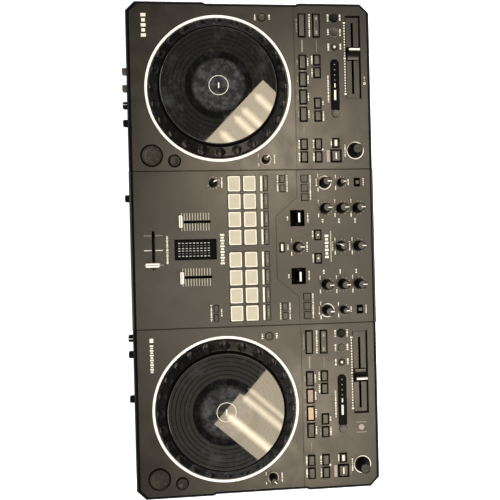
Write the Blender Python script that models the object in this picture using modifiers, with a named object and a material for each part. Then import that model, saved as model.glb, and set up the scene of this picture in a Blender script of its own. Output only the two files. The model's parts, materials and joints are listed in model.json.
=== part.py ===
"""Two-deck battle-style DJ controller: a shallow tub closed by two deck plates and a mixer plate.

Every size below is in millimetres and MM turns it into Blender's metres. +X is the player's right,
+Y is the rear edge and +Z is up. Places on a plate are given from the middle of the body's outline,
and places on a deck from the middle of that deck, because both decks are copies of one layout.
"""
import math

import bmesh
import bpy
from mathutils import Matrix

MM = 0.001

# Body
BODY_W, BODY_D = 711.0, 353.6
CORNER = 13.0                     # 45 degree cut at each corner
GRIP_DEPTH, GRIP_SLOPE = 2.0, 4.0  # hand recess in both short sides
GRIP_FRONT, GRIP_REAR = -63.3, 68.0
FOOT_H = 4.0
WALL = 3.0
PLATE_TOP, PLATE_T = 56.0, 4.0
GAP = 0.3                         # between pieces that touch
SEAM_X = 113.0                    # the seams beside the mixer
SEAM_HALF = 0.3
EDGE_BEVEL = 2.6
KNOB_REACH = 9.2                  # how far the front knobs stand out of the body
DECK_X = 230.4                    # middle of a deck from the middle of the body

PLATE_LOW = PLATE_TOP - PLATE_T
CASE_TOP = PLATE_LOW - GAP
FLOOR_TOP = FOOT_H + WALL

# Jog wheels
JOG_Y = -46.6
JOG_R, JOG_STEPS = 99.0, 48
JOG_RIM_TOP, JOG_SHOULDER_TOP, JOG_SHOULDER_R = 3.5, 8.5, 86.5
JOG_PLATE_R, JOG_PLATE_TOP = 82.2, 13.6
AXLE_R, AXLE_CLEARANCE = 8.0, 0.4
RING_IN, RING_OUT, RING_PROUD = 101.6, 105.1, 0.6
WELL_R, REBATE_R, REBATE_DEPTH = 100.3, 105.5, 1.8

# Keys and pads
KEY_GAP = 0.6
KEY_PROUD, PAD_PROUD = 1.0, 2.0
CARRIER_LOW, CARRIER_TOP = 45.0, 46.5
PAD_W, PAD_D = 22.0, 18.1
MAT_LOW, MAT_TOP = 49.8, 51.2

# Knobs
KNOB_STEPS = 16
SHAFT_R, SHAFT_HOLE_R, SHAFT_DROP = 3.0, 3.5, 8.0
FRONT_KNOB_Z, FRONT_KNOB_R, FRONT_SHAFT_R = 34.0, 5.8, 2.5

# Deck layout, from the middle of the deck: x, y, width and depth of each rectangular key
DECK_KEYS = (
    [(-91.6, y, 33.5, 9.9) for y in (97.3, 76.0)]
    + [(x, 97.3, 15.0, 9.7) for x in (-41.4, -23.1, 21.4, 40.1)]
    + [(x, 76.0, 20.6, 10.4) for x in (-38.2, -13.1, 12.4, 37.3)]
    + [(x, y, 15.4, 9.8) for x in (81.1, 99.6) for y in (96.8, 75.6)]
    + [(79.6, 122.6, 13.0, 9.4), (98.4, 122.6, 18.0, 15.1)]
)
DECK_ROUND_KEYS = [(36.6, 123.3, 5.6), (-102.9, 123.7, 5.5), (-81.9, 123.7, 5.5), (-60.5, 123.7, 3.7),
                   (-102.5, 18.0, 5.2)]
DECK_CARRIER = [(-110, 10), (-94, 10), (-94, 68), (110, 68), (110, 131), (-110, 131)]
TEMPO_RECESS = (-45.5, 151.6, 120.5, 20.4)
TEMPO_RECESS_DEPTH = 0.8
TEMPO_SLOT = (-44.3, 150.6, 104.0, 3.4)
TEMPO_REST = {"left": -6.6, "right": 4.0}   # where each cap stands from the middle of its slot
ENCODER = (90.7, 151.1)
DECK_KNOB = (102.5, 18.9)
PLAY_BUTTON = (95.6, -143.8, 13.8)
CUE_BUTTON = (103.3, -111.7, 7.4)

# Mixer layout, from the middle of the body
EQ_X, EQ_Y = 55.6, {"high": 152.5, "mid": 128.5, "low": 104.2}
OUTER_KNOB_X = 93.2
PAD_X, PAD_Y = (16.1, 41.8, 67.6, 93.3), (-5.9, -28.1)
MIXER_KEYS = (
    [(side * 17.0, 92.6, 14.5, 9.7) for side in (-1, 1)] + [(0.0, 39.7, 11.5, 4.4)]
    + [(side * x, 74.6, 10.0, 9.9) for side in (-1, 1) for x in (72.5, 86.0, 99.3)]
    + [(side * x, 42.2, 10.0, 7.2) for side in (-1, 1) for x in (85.6, 99.4)]
    + [(side * x, 17.7, 22.0, 6.0) for side in (-1, 1) for x in PAD_X]
    + [(x, -57.6, 10.0, 6.1) for x in (85.4, 98.9)]
)
MIXER_CARRIER = [(78, -64), (108, -64), (108, 99), (-106, 99), (-106, 10), (78, 10)]
LEVER = (42.1, 63.1)
LEVER_WELL = (22.4, 19.8)
LEVER_W, LEVER_T, LEVER_TOP, LEVER_PIVOT_Z = 15.0, 3.2, 15.0, 49.5
SWITCH = (93.2, 152.6)
SWITCH_WINDOW = (11.0, 7.6)
METER = (0.0, -84.8, 30.0, 60.4)
METER_DEPTH = 2.0
CHANNEL_X, CHANNEL_SLOT_Y, CHANNEL_SLOT_LEN, CHANNEL_REST_Y = 39.6, -85.6, 46.0, -104.4
CROSS_Y, CROSS_SLOT_LEN, CROSS_REST_X = -144.5, 54.0, 20.7
SLOT_W = 3.4
FRONT_KNOBS = {"mic_low_knob": -262.0, "mic_high_knob": -237.2, "mic_level_knob": -212.4,
               "headphone_mix_knob": -186.4, "headphone_level_knob": -76.6,
               "crossfader_curve_knob": 127.4, "left_fader_curve_knob": 151.2,
               "right_fader_curve_knob": 216.3}

# Inside the tub
BOARD = (-105.0, 105.0, -150.0, 160.0)
BOARD_LOW, BOARD_T = 12.0, 1.6
BOARD_PARTS = [(-40, 60, 24, 24, 2.4), (45, 60, 18, 18, 2.0), (0, -20, 30, 14, 2.4), (-60, -90, 20, 20, 6.0),
               (70, -80, 16, 26, 8.0), (-70, 140, 40, 18, 14.0), (60, 140, 50, 18, 14.0)]
PILLARS = [(side * x, y) for side in (-1, 1) for x in (338.0, 121.0) for y in (-160.0, 160.0)]
PILLAR_R = 4.5
BOARD_POSTS = [(x, y) for x in (-95.0, 95.0) for y in (-140.0, 150.0)]
JACK_BAY = (520.0, 1.2, 14.0, 44.0)          # width, depth, lowest and highest point
FEET = {"front_left": (-300, -140), "front_right": (300, -140), "rear_left": (-300, 140),
        "rear_right": (300, 140)}
FOOT_R = 14.0

# Colours: red, green, blue, roughness, metallic
MATERIALS = {
    "case_plastic": (0.020, 0.019, 0.018, 0.55, 0.0),
    "plate_paint": (0.075, 0.068, 0.060, 0.50, 0.0),
    "key_plastic": (0.085, 0.078, 0.068, 0.50, 0.0),
    "pad_rubber": (0.74, 0.71, 0.60, 0.55, 0.0),
    "knob_rubber": (0.012, 0.012, 0.012, 0.60, 0.0),
    "grey_cap": (0.22, 0.21, 0.19, 0.45, 0.0),
    "white_cap": (0.82, 0.80, 0.72, 0.40, 0.0),
    "jog_rim": (0.014, 0.013, 0.012, 0.40, 0.0),
    "jog_plate": (0.010, 0.010, 0.010, 0.12, 0.0),
    "ring_light": (0.90, 0.88, 0.82, 0.35, 0.0),
    "window": (0.005, 0.005, 0.006, 0.10, 0.0),
    "board_green": (0.02, 0.11, 0.05, 0.50, 0.0),
    "foot_rubber": (0.015, 0.015, 0.015, 0.85, 0.0),
    "lever_metal": (0.30, 0.29, 0.27, 0.35, 0.8),
}


def clear_scene():
    for obj in list(bpy.data.objects):
        bpy.data.objects.remove(obj, do_unlink=True)


def new_collection(name):
    collection = bpy.data.collections.new(name)
    bpy.context.scene.collection.children.link(collection)
    return collection


def new_material(name):
    red, green, blue, roughness, metallic = MATERIALS[name]
    material = bpy.data.materials.new(name)
    material.use_nodes = True
    shader = material.node_tree.nodes["Principled BSDF"]
    shader.inputs["Base Color"].default_value = (red, green, blue, 1.0)
    shader.inputs["Roughness"].default_value = roughness
    shader.inputs["Metallic"].default_value = metallic
    return material


def new_empty(name, parent, place):
    """An empty at a place in millimetres from its parent, which pieces are parented to."""
    empty = bpy.data.objects.new(name, None)
    PARTS.objects.link(empty)
    empty.parent = parent
    empty.location = [value * MM for value in place]
    return empty


def new_piece(name, mesh, material, parent, place=(0, 0, 0)):
    """Link a mesh as one of the controller's pieces."""
    piece = bpy.data.objects.new(name, mesh)
    PARTS.objects.link(piece)
    piece.parent = parent
    piece.location = [value * MM for value in place]
    mesh.materials.clear()
    mesh.materials.append(MATERIAL[material])
    mesh.shade_smooth()
    mesh.set_sharp_from_angle(angle=math.radians(35))
    return piece


def new_cutter(name, mesh, parent, place=(0, 0, 0)):
    """Link a mesh as a helper that shapes other pieces and isn't part of the object."""
    cutter = bpy.data.objects.new(name, mesh)
    CUTTERS.objects.link(cutter)
    cutter.parent = parent
    cutter.location = [value * MM for value in place]
    cutter.display_type = "WIRE"
    cutter.hide_render = True
    return cutter


def boolean(piece, cutter, operation="DIFFERENCE"):
    modifier = piece.modifiers.new(cutter.name, "BOOLEAN")
    modifier.operation = operation
    modifier.solver = "EXACT"
    modifier.object = cutter


def finish_mesh(name, bm):
    mesh = bpy.data.meshes.new(name)
    bm.to_mesh(mesh)
    bm.free()
    return mesh


def solids_mesh(name, boxes=(), discs=()):
    """A mesh of separate boxes (x, y, width, depth, low, top) and upright discs (x, y, r, low, top)."""
    bm = bmesh.new()
    for x, y, width, depth, low, top in boxes:
        place = Matrix.Translation([v * MM for v in (x, y, (low + top) / 2)])
        size = Matrix.Diagonal([v * MM for v in (width, depth, top - low)] + [1])
        bmesh.ops.create_cube(bm, size=1.0, matrix=place @ size)
    for x, y, radius, low, top in discs:
        place = Matrix.Translation([v * MM for v in (x, y, (low + top) / 2)])
        bmesh.ops.create_cone(bm, cap_ends=True, segments=KNOB_STEPS, radius1=radius * MM,
                              radius2=radius * MM, depth=(top - low) * MM, matrix=place)
    return finish_mesh(name, bm)


def outline_mesh(name, points, low, top):
    """A flat outline, given by its corners, as a solid between two heights."""
    curve = bpy.data.curves.new(name, "CURVE")
    curve.dimensions = "2D"
    curve.fill_mode = "BOTH"
    curve.extrude = (top - low) / 2 * MM
    spline = curve.splines.new("POLY")
    spline.points.add(len(points) - 1)
    for point, (x, y) in zip(spline.points, points):
        point.co = (x * MM, y * MM, 0, 1)
    spline.use_cyclic_u = True
    holder = bpy.data.objects.new(name, curve)
    CUTTERS.objects.link(holder)
    evaluated = holder.evaluated_get(bpy.context.evaluated_depsgraph_get())
    mesh = bpy.data.meshes.new_from_object(evaluated)
    bpy.data.objects.remove(holder, do_unlink=True)
    bpy.data.curves.remove(curve)
    bm = bmesh.new()
    bm.from_mesh(mesh)
    bmesh.ops.remove_doubles(bm, verts=bm.verts, dist=0.00001)
    bmesh.ops.dissolve_limit(bm, angle_limit=math.radians(1), verts=bm.verts, edges=bm.edges)
    bmesh.ops.translate(bm, verts=bm.verts, vec=(0, 0, (low + top) / 2 * MM))
    bmesh.ops.recalc_face_normals(bm, faces=bm.faces)
    bm.to_mesh(mesh)
    bm.free()
    return mesh


def turned_mesh(name, profile, closed=False):
    """The line that a Screw modifier turns: (radius, height) pairs from the top down the outer side."""
    bm = bmesh.new()
    points = [bm.verts.new((radius * MM, 0, height * MM)) for radius, height in profile]
    pairs = list(zip(points, points[1:]))
    if closed:
        pairs.append((points[-1], points[0]))
    for start, end in pairs:
        bm.edges.new((start, end))
    return finish_mesh(name, bm)


def turn(piece, steps):
    screw = piece.modifiers.new("Turn", "SCREW")
    screw.axis = "Z"
    screw.angle = 2 * math.pi
    screw.steps = steps
    screw.render_steps = steps
    screw.use_merge_vertices = True
    screw.merge_threshold = 0.00005
    screw.use_smooth_shade = False
    return piece


def outer_edge(side, inset=0.0):
    """One short side's outline from the rear to the front, with its cut corners and hand recess."""
    half_w, half_d = BODY_W / 2 - inset, BODY_D / 2 - inset
    corner = CORNER - inset * (2 - math.sqrt(2))
    points = [(half_w - corner, half_d), (half_w, half_d - corner), (half_w, GRIP_REAR + GRIP_SLOPE),
              (half_w - GRIP_DEPTH, GRIP_REAR), (half_w - GRIP_DEPTH, GRIP_FRONT),
              (half_w, GRIP_FRONT - GRIP_SLOPE), (half_w, corner - half_d), (half_w - corner, -half_d)]
    return [(side * x, y) for x, y in points]


def body_outline(inset=0.0):
    return outer_edge(1, inset) + outer_edge(-1, inset)[::-1]


def bevel_outer_top(mesh, seam_x):
    """Bevel the top edges of a plate, except those along a seam."""
    bm = bmesh.new()
    bm.from_mesh(mesh)
    edges = []
    for edge in bm.edges:
        on_top = all(abs(vert.co.z - PLATE_TOP * MM) < 1e-6 for vert in edge.verts)
        on_seam = all(abs(abs(vert.co.x) - seam_x * MM) < 1e-6 for vert in edge.verts)
        if on_top and not on_seam:
            edges.append(edge)
    bmesh.ops.bevel(bm, geom=edges, offset=EDGE_BEVEL * MM, segments=1, affect="EDGES")
    bm.to_mesh(mesh)
    bm.free()


def grown(keys, low, top, grow=0.0):
    """Key outlines (x, y, width, depth) as boxes between two heights, larger by grow on every side."""
    return [(x, y, width + 2 * grow, depth + 2 * grow, low, top) for x, y, width, depth in keys]


def grown_round(keys, low, top, grow=0.0):
    return [(x, y, radius + grow, low, top) for x, y, radius in keys]


def knob_profile(base_r, top_r, height):
    """A knob that stands on the plate, with its shaft going down through it."""
    foot = PLATE_TOP + GAP
    top = PLATE_TOP + height
    return [(0, top), (top_r - 0.6, top), (top_r, top - 0.8), (base_r, foot), (SHAFT_R, foot),
            (SHAFT_R, PLATE_TOP - SHAFT_DROP), (0, PLATE_TOP - SHAFT_DROP)]


def make_knob(name, place, parent, base_r=7.6, top_r=6.3, height=17.4, material="knob_rubber"):
    mesh = turned_mesh(name, knob_profile(base_r, top_r, height))
    return turn(new_piece(name, mesh, material, parent, (place[0], place[1], 0)), KNOB_STEPS)


def make_case():
    """The lower tub with its corner pillars, board posts, jog bearings, shaft holes and jack bay."""
    case = new_piece("bottom_case", outline_mesh("bottom_case", body_outline(), FOOT_H, CASE_TOP),
                     "case_plastic", BODY)
    hollow = outline_mesh("case_hollow", body_outline(WALL), FLOOR_TOP, CASE_TOP + 5)
    boolean(case, new_cutter("case_hollow", hollow, BODY))
    posts = [(x, y, PILLAR_R, FLOOR_TOP - 1, CASE_TOP) for x, y in PILLARS]
    posts += [(x, y, PILLAR_R, FLOOR_TOP - 1, BOARD_LOW - GAP) for x, y in BOARD_POSTS]
    posts += [(side * DECK_X, JOG_Y, AXLE_R + 5, FLOOR_TOP - 1, 34) for side in (-1, 1)]
    boolean(case, new_cutter("case_posts", solids_mesh("case_posts", discs=posts), BODY), "UNION")
    bores = [(side * DECK_X, JOG_Y, AXLE_R + AXLE_CLEARANCE, 12, 40) for side in (-1, 1)]
    bay_w, bay_d, bay_low, bay_top = JACK_BAY
    bay = [(0, BODY_D / 2, bay_w, 2 * bay_d, bay_low, bay_top)]
    boolean(case, new_cutter("case_bores", solids_mesh("case_bores", bay, bores), BODY))
    holes = bmesh.new()
    for x in FRONT_KNOBS.values():
        place = Matrix.Translation([v * MM for v in (x, -BODY_D / 2, FRONT_KNOB_Z)])
        bmesh.ops.create_cone(holes, cap_ends=True, segments=12, radius1=(FRONT_SHAFT_R + 0.5) * MM,
                              radius2=(FRONT_SHAFT_R + 0.5) * MM, depth=4 * WALL * MM,
                              matrix=place @ Matrix.Rotation(math.pi / 2, 4, "X"))
    boolean(case, new_cutter("shaft_holes", finish_mesh("shaft_holes", holes), BODY))


def make_feet():
    for name, (x, y) in FEET.items():
        profile = [(0, FOOT_H - GAP), (FOOT_R, FOOT_H - GAP), (FOOT_R - 1, 0), (0, 0)]
        foot = new_piece("foot_" + name, turned_mesh("foot", profile), "foot_rubber", BODY, (x, y, 0))
        turn(foot, KNOB_STEPS)


def make_main_board():
    left, right, front, rear = BOARD
    mesh = solids_mesh("main_board", [((left + right) / 2, (front + rear) / 2, right - left, rear - front,
                                       BOARD_LOW, BOARD_LOW + BOARD_T)])
    board = new_piece("main_board", mesh, "board_green", BODY)
    top = BOARD_LOW + BOARD_T
    chips = [(x, y, width, depth, top - 0.5, top + height) for x, y, width, depth, height in BOARD_PARTS]
    boolean(board, new_cutter("board_parts", solids_mesh("board_parts", chips), BODY), "UNION")


def make_deck_plate(side_name, side):
    """One deck's plate, with its key holes, slider slot, jog well and rebate for the light ring."""
    inner = side * (SEAM_X + SEAM_HALF)
    points = [(inner, -BODY_D / 2), (inner, BODY_D / 2)] + outer_edge(side)
    name = side_name + "_deck_panel"
    mesh = outline_mesh(name, points, PLATE_LOW, PLATE_TOP)
    bevel_outer_top(mesh, abs(inner))
    plate = new_piece(name, mesh, "plate_paint", BODY)
    low, top = PLATE_LOW - 1, PLATE_TOP + 1
    boxes = grown(DECK_KEYS, low, top, KEY_GAP)
    discs = grown_round(DECK_ROUND_KEYS + [PLAY_BUTTON, CUE_BUTTON], low, top, KEY_GAP)
    discs += [(x, y, SHAFT_HOLE_R, low, top) for x, y in (ENCODER, DECK_KNOB)]
    deck = DECK[side_name]
    boolean(plate, new_cutter(name + "_holes", solids_mesh(name + "_holes", boxes, discs), deck))
    recess = grown([TEMPO_RECESS], PLATE_TOP - TEMPO_RECESS_DEPTH, top)
    boolean(plate, new_cutter(name + "_recess", solids_mesh(name + "_recess", recess), deck))
    slot = grown([TEMPO_SLOT], low, top)
    boolean(plate, new_cutter(name + "_slot", solids_mesh(name + "_slot", slot), deck))
    ledge = PLATE_TOP - REBATE_DEPTH
    well = [(0, top), (REBATE_R, top), (REBATE_R, ledge), (WELL_R, ledge), (WELL_R, low), (0, low)]
    boolean(plate, turn(new_cutter(name + "_well", turned_mesh("well", well), deck, (0, JOG_Y, 0)), JOG_STEPS))


def make_light_ring(side_name):
    low, top = PLATE_TOP - REBATE_DEPTH + GAP, PLATE_TOP + RING_PROUD
    profile = [(RING_IN, top), (RING_OUT, top), (RING_OUT, low), (RING_IN, low)]
    ring = new_piece(side_name + "_light_ring", turned_mesh("light_ring", profile, closed=True),
                     "ring_light", DECK[side_name], (0, JOG_Y, 0))
    turn(ring, JOG_STEPS)


def make_jog(side_name):
    """The jog wheel with its dished underside and axle, and the round plate on top of it."""
    rim, shoulder = PLATE_TOP + JOG_RIM_TOP, PLATE_TOP + JOG_SHOULDER_TOP
    profile = [(0, shoulder), (JOG_SHOULDER_R, shoulder), (JOG_R, rim), (JOG_R, PLATE_LOW - 2),
               (JOG_R - 4, PLATE_LOW - 2), (JOG_R - 4, rim - 2), (JOG_SHOULDER_R - 3, shoulder - 4),
               (20, shoulder - 4), (20, 48), (AXLE_R, 48), (AXLE_R, 14), (0, 14)]
    deck = DECK[side_name]
    wheel = new_piece(side_name + "_jog_wheel", turned_mesh("jog_wheel", profile), "jog_rim", deck,
                      (0, JOG_Y, 0))
    turn(wheel, JOG_STEPS)
    low, top = shoulder + GAP, PLATE_TOP + JOG_PLATE_TOP
    profile = [(0, top), (JOG_PLATE_R - 1, top), (JOG_PLATE_R, top - 1), (JOG_PLATE_R, low), (0, low)]
    plate = new_piece(side_name + "_jog_plate", turned_mesh("jog_plate", profile), "jog_plate", deck,
                      (0, JOG_Y, 0))
    turn(plate, JOG_STEPS)


def make_key_carrier(name, outline, keys, round_keys, parent):
    """Keys moulded on one carrier under the plate, which travels when they are pressed."""
    carrier = new_piece(name, outline_mesh(name, outline, CARRIER_LOW, CARRIER_TOP), "key_plastic", parent)
    low, top = CARRIER_TOP - 0.5, PLATE_TOP + KEY_PROUD
    caps = solids_mesh(name + "_caps", grown(keys, low, top), grown_round(round_keys, low, top))
    boolean(carrier, new_cutter(name + "_caps", caps, parent), "UNION")


def make_round_button(name, button, deck):
    """A round button with a flange that keeps it under the plate."""
    x, y, radius = button
    top, flange = PLATE_TOP + 1.6, PLATE_LOW - 0.8
    profile = [(0, top), (radius - 0.6, top), (radius, top - 0.6), (radius, flange), (radius + 2, flange),
               (radius + 2, flange - 2), (0, flange - 2)]
    turn(new_piece(name, turned_mesh(name, profile), "key_plastic", deck, (x, y, 0)), KNOB_STEPS + 8)


def make_tempo_cap(side_name):
    """A slider cap with sloping ends and one raised grip ridge, on a thin stem through the slot."""
    x = TEMPO_SLOT[0] + TEMPO_REST[side_name]
    foot, top = PLATE_TOP + GAP, PLATE_TOP + 10
    half_len, half_ridge, half_wide = 9.5, 2.4, 9.0
    slope_low, slope_top = foot + 1.5, foot + 4.5
    profile = [(-half_len, foot), (half_len, foot), (half_len, slope_low), (half_ridge, slope_top),
               (half_ridge, top), (-half_ridge, top), (-half_ridge, slope_top), (-half_len, slope_low)]
    mesh = outline_mesh("tempo_cap", profile, -half_wide, half_wide)
    mesh.transform(Matrix.Rotation(math.pi / 2, 4, "X"))
    cap = new_piece(side_name + "_tempo_cap", mesh, "knob_rubber", DECK[side_name], (x, TEMPO_SLOT[1], 0))
    stem = solids_mesh("tempo_stem", [(0, 0, 6, 1.8, 47, foot + 1)])
    boolean(cap, new_cutter(side_name + "_tempo_stem", stem, cap), "UNION")


def make_fader_cap(name, place, width, depth, stem_w, stem_d):
    """A tall narrow fader cap, waisted where the finger holds it, on a stem through its slot."""
    low, base, top = PLATE_TOP + GAP, PLATE_TOP + 3, PLATE_TOP + 16.5
    cap = new_piece(name, solids_mesh(name, [(0, 0, width, depth, low, base)]), "white_cap", BODY,
                    (place[0], place[1], 0))
    inset = 1.0
    boxes = [(0, 0, width - inset, depth - inset, base - 0.5, top), (0, 0, stem_w, stem_d, 47, low + 0.5)]
    boolean(cap, new_cutter(name + "_grip", solids_mesh(name + "_grip", boxes), cap), "UNION")


def make_lever(name, side):
    """A paddle on a cross pin, in an open well of the mixer plate. Its origin is on the pin."""
    top = PLATE_TOP + LEVER_TOP - LEVER_PIVOT_Z
    lever = new_piece(name, solids_mesh(name, [(0, 0, LEVER_W, LEVER_T, -1.0, top)]), "lever_metal", BODY,
                      (side * LEVER[0], LEVER[1], LEVER_PIVOT_Z))
    pin = bmesh.new()
    bmesh.ops.create_cone(pin, cap_ends=True, segments=12, radius1=2.4 * MM, radius2=2.4 * MM,
                          depth=20 * MM, matrix=Matrix.Rotation(math.pi / 2, 4, "Y"))
    boolean(lever, new_cutter(name + "_pin", finish_mesh(name + "_pin", pin), lever), "UNION")


def make_pad_mat(name, side):
    """Eight pads moulded on one soft sheet under the mixer plate."""
    left, right = PAD_X[0] - PAD_W / 2 - 1.5, PAD_X[-1] + PAD_W / 2 + 1.5
    front, rear = PAD_Y[1] - PAD_D / 2 - 1.5, PAD_Y[0] + PAD_D / 2 + 1.5
    sheet = [(side * (left + right) / 2, (front + rear) / 2, right - left, rear - front, MAT_LOW, MAT_TOP)]
    mat = new_piece(name, solids_mesh(name, sheet), "pad_rubber", BODY)
    pads = [(side * x, y, PAD_W, PAD_D, MAT_TOP - 0.5, PLATE_TOP + PAD_PROUD) for x in PAD_X for y in PAD_Y]
    boolean(mat, new_cutter(name + "_pads", solids_mesh(name + "_pads", pads), BODY), "UNION")


def make_mixer_plate():
    half = SEAM_X - SEAM_HALF
    points = [(-half, -BODY_D / 2), (half, -BODY_D / 2), (half, BODY_D / 2), (-half, BODY_D / 2)]
    mesh = outline_mesh("mixer_panel", points, PLATE_LOW, PLATE_TOP)
    bevel_outer_top(mesh, half)
    plate = new_piece("mixer_panel", mesh, "plate_paint", BODY)
    low, top = PLATE_LOW - 1, PLATE_TOP + 1
    pads = [(side * x, y, PAD_W, PAD_D) for side in (-1, 1) for x in PAD_X for y in PAD_Y]
    boxes = grown(MIXER_KEYS + pads, low, top, KEY_GAP - 0.2)
    for side in (-1, 1):
        boxes.append((side * LEVER[0], LEVER[1], *LEVER_WELL, low, top))
        boxes.append((side * SWITCH[0], SWITCH[1], *SWITCH_WINDOW, low, top))
        boxes.append((side * CHANNEL_X, CHANNEL_SLOT_Y, SLOT_W, CHANNEL_SLOT_LEN, low, top))
    boxes.append((0, CROSS_Y, CROSS_SLOT_LEN, SLOT_W, low, top))
    boxes.append((*METER, PLATE_TOP - METER_DEPTH, top))
    shafts = [(x, y, SHAFT_HOLE_R, low, top) for x, y in MIXER_KNOBS.values()]
    boolean(plate, new_cutter("mixer_holes", solids_mesh("mixer_holes", boxes, shafts), BODY))


def make_meter_window():
    x, y, width, depth = METER
    box = (x, y, width - 2 * GAP, depth - 2 * GAP, PLATE_TOP - METER_DEPTH + GAP, PLATE_TOP + 0.2)
    new_piece("meter_window", solids_mesh("meter_window", [box]), "window", BODY)


def make_switch(name, side):
    """A sliding selector in a small window of the mixer plate."""
    box = (0, 0, 4.6, 5.0, PLATE_TOP - 6, PLATE_TOP + 2.5)
    new_piece(name, solids_mesh(name, [box]), "grey_cap", BODY, (side * SWITCH[0], SWITCH[1], 0))


def make_front_knob(name, x):
    """A small knob on the front wall. Its turning axis runs along Y through its origin."""
    reach = KNOB_REACH
    profile = [(0, reach), (FRONT_KNOB_R - 1.1, reach), (FRONT_KNOB_R - 0.5, reach - 0.6),
               (FRONT_KNOB_R, GAP + 0.1), (FRONT_SHAFT_R, GAP + 0.1), (FRONT_SHAFT_R, -8), (0, -8)]
    knob = new_piece(name, turned_mesh(name, profile), "knob_rubber", BODY, (x, -BODY_D / 2, FRONT_KNOB_Z))
    knob.rotation_euler = (math.pi / 2, 0, 0)
    turn(knob, KNOB_STEPS)


MIXER_KNOBS = {side + "_" + band + "_knob": (sign * EQ_X, y)
               for side, sign in (("left", -1), ("right", 1)) for band, y in EQ_Y.items()}
for side_word, sign in (("left", -1), ("right", 1)):
    MIXER_KNOBS[side_word + "_trim_knob"] = (sign * OUTER_KNOB_X, EQ_Y["mid"])
    MIXER_KNOBS[side_word + "_filter_knob"] = (sign * OUTER_KNOB_X, EQ_Y["low"])
MIXER_KNOBS["master_knob"] = (0.0, 152.5)
MIXER_KNOBS["booth_knob"] = (0.0, 127.0)
MIXER_KNOBS["effect_depth_knob"] = (0.0, 62.8)
MIXER_KNOBS["sampler_knob"] = (-95.0, -57.6)

clear_scene()
PARTS = new_collection("dj_controller")
CUTTERS = new_collection("cutters")
MATERIAL = {name: new_material(name) for name in MATERIALS}
# The front knobs stand out of the body, so its outline is set back to centre the whole object on the origin.
BODY = new_empty("outline_middle", None, (0, KNOB_REACH / 2, 0))
DECK = {"left": new_empty("left_deck", BODY, (-DECK_X, 0, 0)),
        "right": new_empty("right_deck", BODY, (DECK_X, 0, 0))}

make_case()
make_feet()
make_main_board()
make_mixer_plate()
make_meter_window()
for side_word, sign in (("left", -1), ("right", 1)):
    make_deck_plate(side_word, sign)
    make_light_ring(side_word)
    make_jog(side_word)
    make_key_carrier(side_word + "_deck_keys", DECK_CARRIER, DECK_KEYS, DECK_ROUND_KEYS, DECK[side_word])
    make_round_button(side_word + "_play_button", PLAY_BUTTON, DECK[side_word])
    make_round_button(side_word + "_cue_button", CUE_BUTTON, DECK[side_word])
    make_tempo_cap(side_word)
    make_knob(side_word + "_browse_encoder", ENCODER, DECK[side_word], 11.0, 7.5, 14.5)
    make_knob(side_word + "_deck_knob", DECK_KNOB, DECK[side_word], 5.8, 5.2, 12.0)
    make_lever(side_word + "_fx_lever", sign)
    make_pad_mat(side_word + "_pad_mat", sign)
    make_switch(side_word + "_input_switch", sign)
    make_fader_cap(side_word + "_channel_cap", (sign * CHANNEL_X, CHANNEL_REST_Y), 18.0, 6.4, 1.8, 5.0)
make_key_carrier("mixer_keys", MIXER_CARRIER, MIXER_KEYS, [], BODY)
make_fader_cap("crossfader_cap", (CROSS_REST_X, CROSS_Y), 7.8, 19.2, 5.0, 1.8)
for knob_name, knob_place in MIXER_KNOBS.items():
    if "trim" in knob_name:
        make_knob(knob_name, knob_place, BODY, 5.6, 4.8, 13.0, "grey_cap")
    elif knob_name == "sampler_knob":
        make_knob(knob_name, knob_place, BODY, 6.0, 5.2, 11.0)
    else:
        make_knob(knob_name, knob_place, BODY)
for knob_name, knob_x in FRONT_KNOBS.items():
    make_front_knob(knob_name, knob_x)
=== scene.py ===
"""A two-deck battle-style DJ controller: fine pieces, finishes, light and camera round its CAD frame.

Places are in millimetres from the middle of the body's outline: +X is the player's right, +Y the rear
edge and +Z up. Places on a deck are from the middle of that deck, because both decks are copies of one
layout. Marks stand in for words: none of them is a letter.
"""

import json
import math
import random

import bmesh
import bpy
from mathutils import Matrix, Vector


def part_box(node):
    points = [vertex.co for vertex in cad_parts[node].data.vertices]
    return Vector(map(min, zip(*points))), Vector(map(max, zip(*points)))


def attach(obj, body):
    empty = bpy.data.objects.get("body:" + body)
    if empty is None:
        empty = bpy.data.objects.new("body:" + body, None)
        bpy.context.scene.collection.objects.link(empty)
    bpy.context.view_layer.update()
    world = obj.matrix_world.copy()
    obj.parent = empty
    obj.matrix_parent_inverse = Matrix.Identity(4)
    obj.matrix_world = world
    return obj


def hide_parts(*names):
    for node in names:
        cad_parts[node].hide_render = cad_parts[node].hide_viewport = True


MM = 0.001

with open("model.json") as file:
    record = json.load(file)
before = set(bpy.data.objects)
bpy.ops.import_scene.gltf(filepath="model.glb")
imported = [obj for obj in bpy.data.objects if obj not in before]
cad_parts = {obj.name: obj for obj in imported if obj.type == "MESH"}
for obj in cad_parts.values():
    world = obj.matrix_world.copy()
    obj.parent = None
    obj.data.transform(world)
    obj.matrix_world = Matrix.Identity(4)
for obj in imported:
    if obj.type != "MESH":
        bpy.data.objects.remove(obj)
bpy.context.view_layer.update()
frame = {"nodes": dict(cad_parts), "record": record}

# The body's outline is set back, because the front knobs stand out of it.
CASE_LOW, CASE_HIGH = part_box("bottom_case")
OUTLINE_Y = (CASE_LOW.y + CASE_HIGH.y) / 2


def node_box(node):
    """A CAD node's lowest and highest corners, in millimetres from the middle of the body's outline."""
    return [Vector((corner.x, corner.y - OUTLINE_Y, corner.z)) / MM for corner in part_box(node)]


def measure(node):
    """A CAD node's middle, width, depth, lowest level and top."""
    low, high = node_box(node)
    return (low.x + high.x) / 2, (low.y + high.y) / 2, high.x - low.x, high.y - low.y, low.z, high.z


def node_middle(node):
    return measure(node)[:2]


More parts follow.
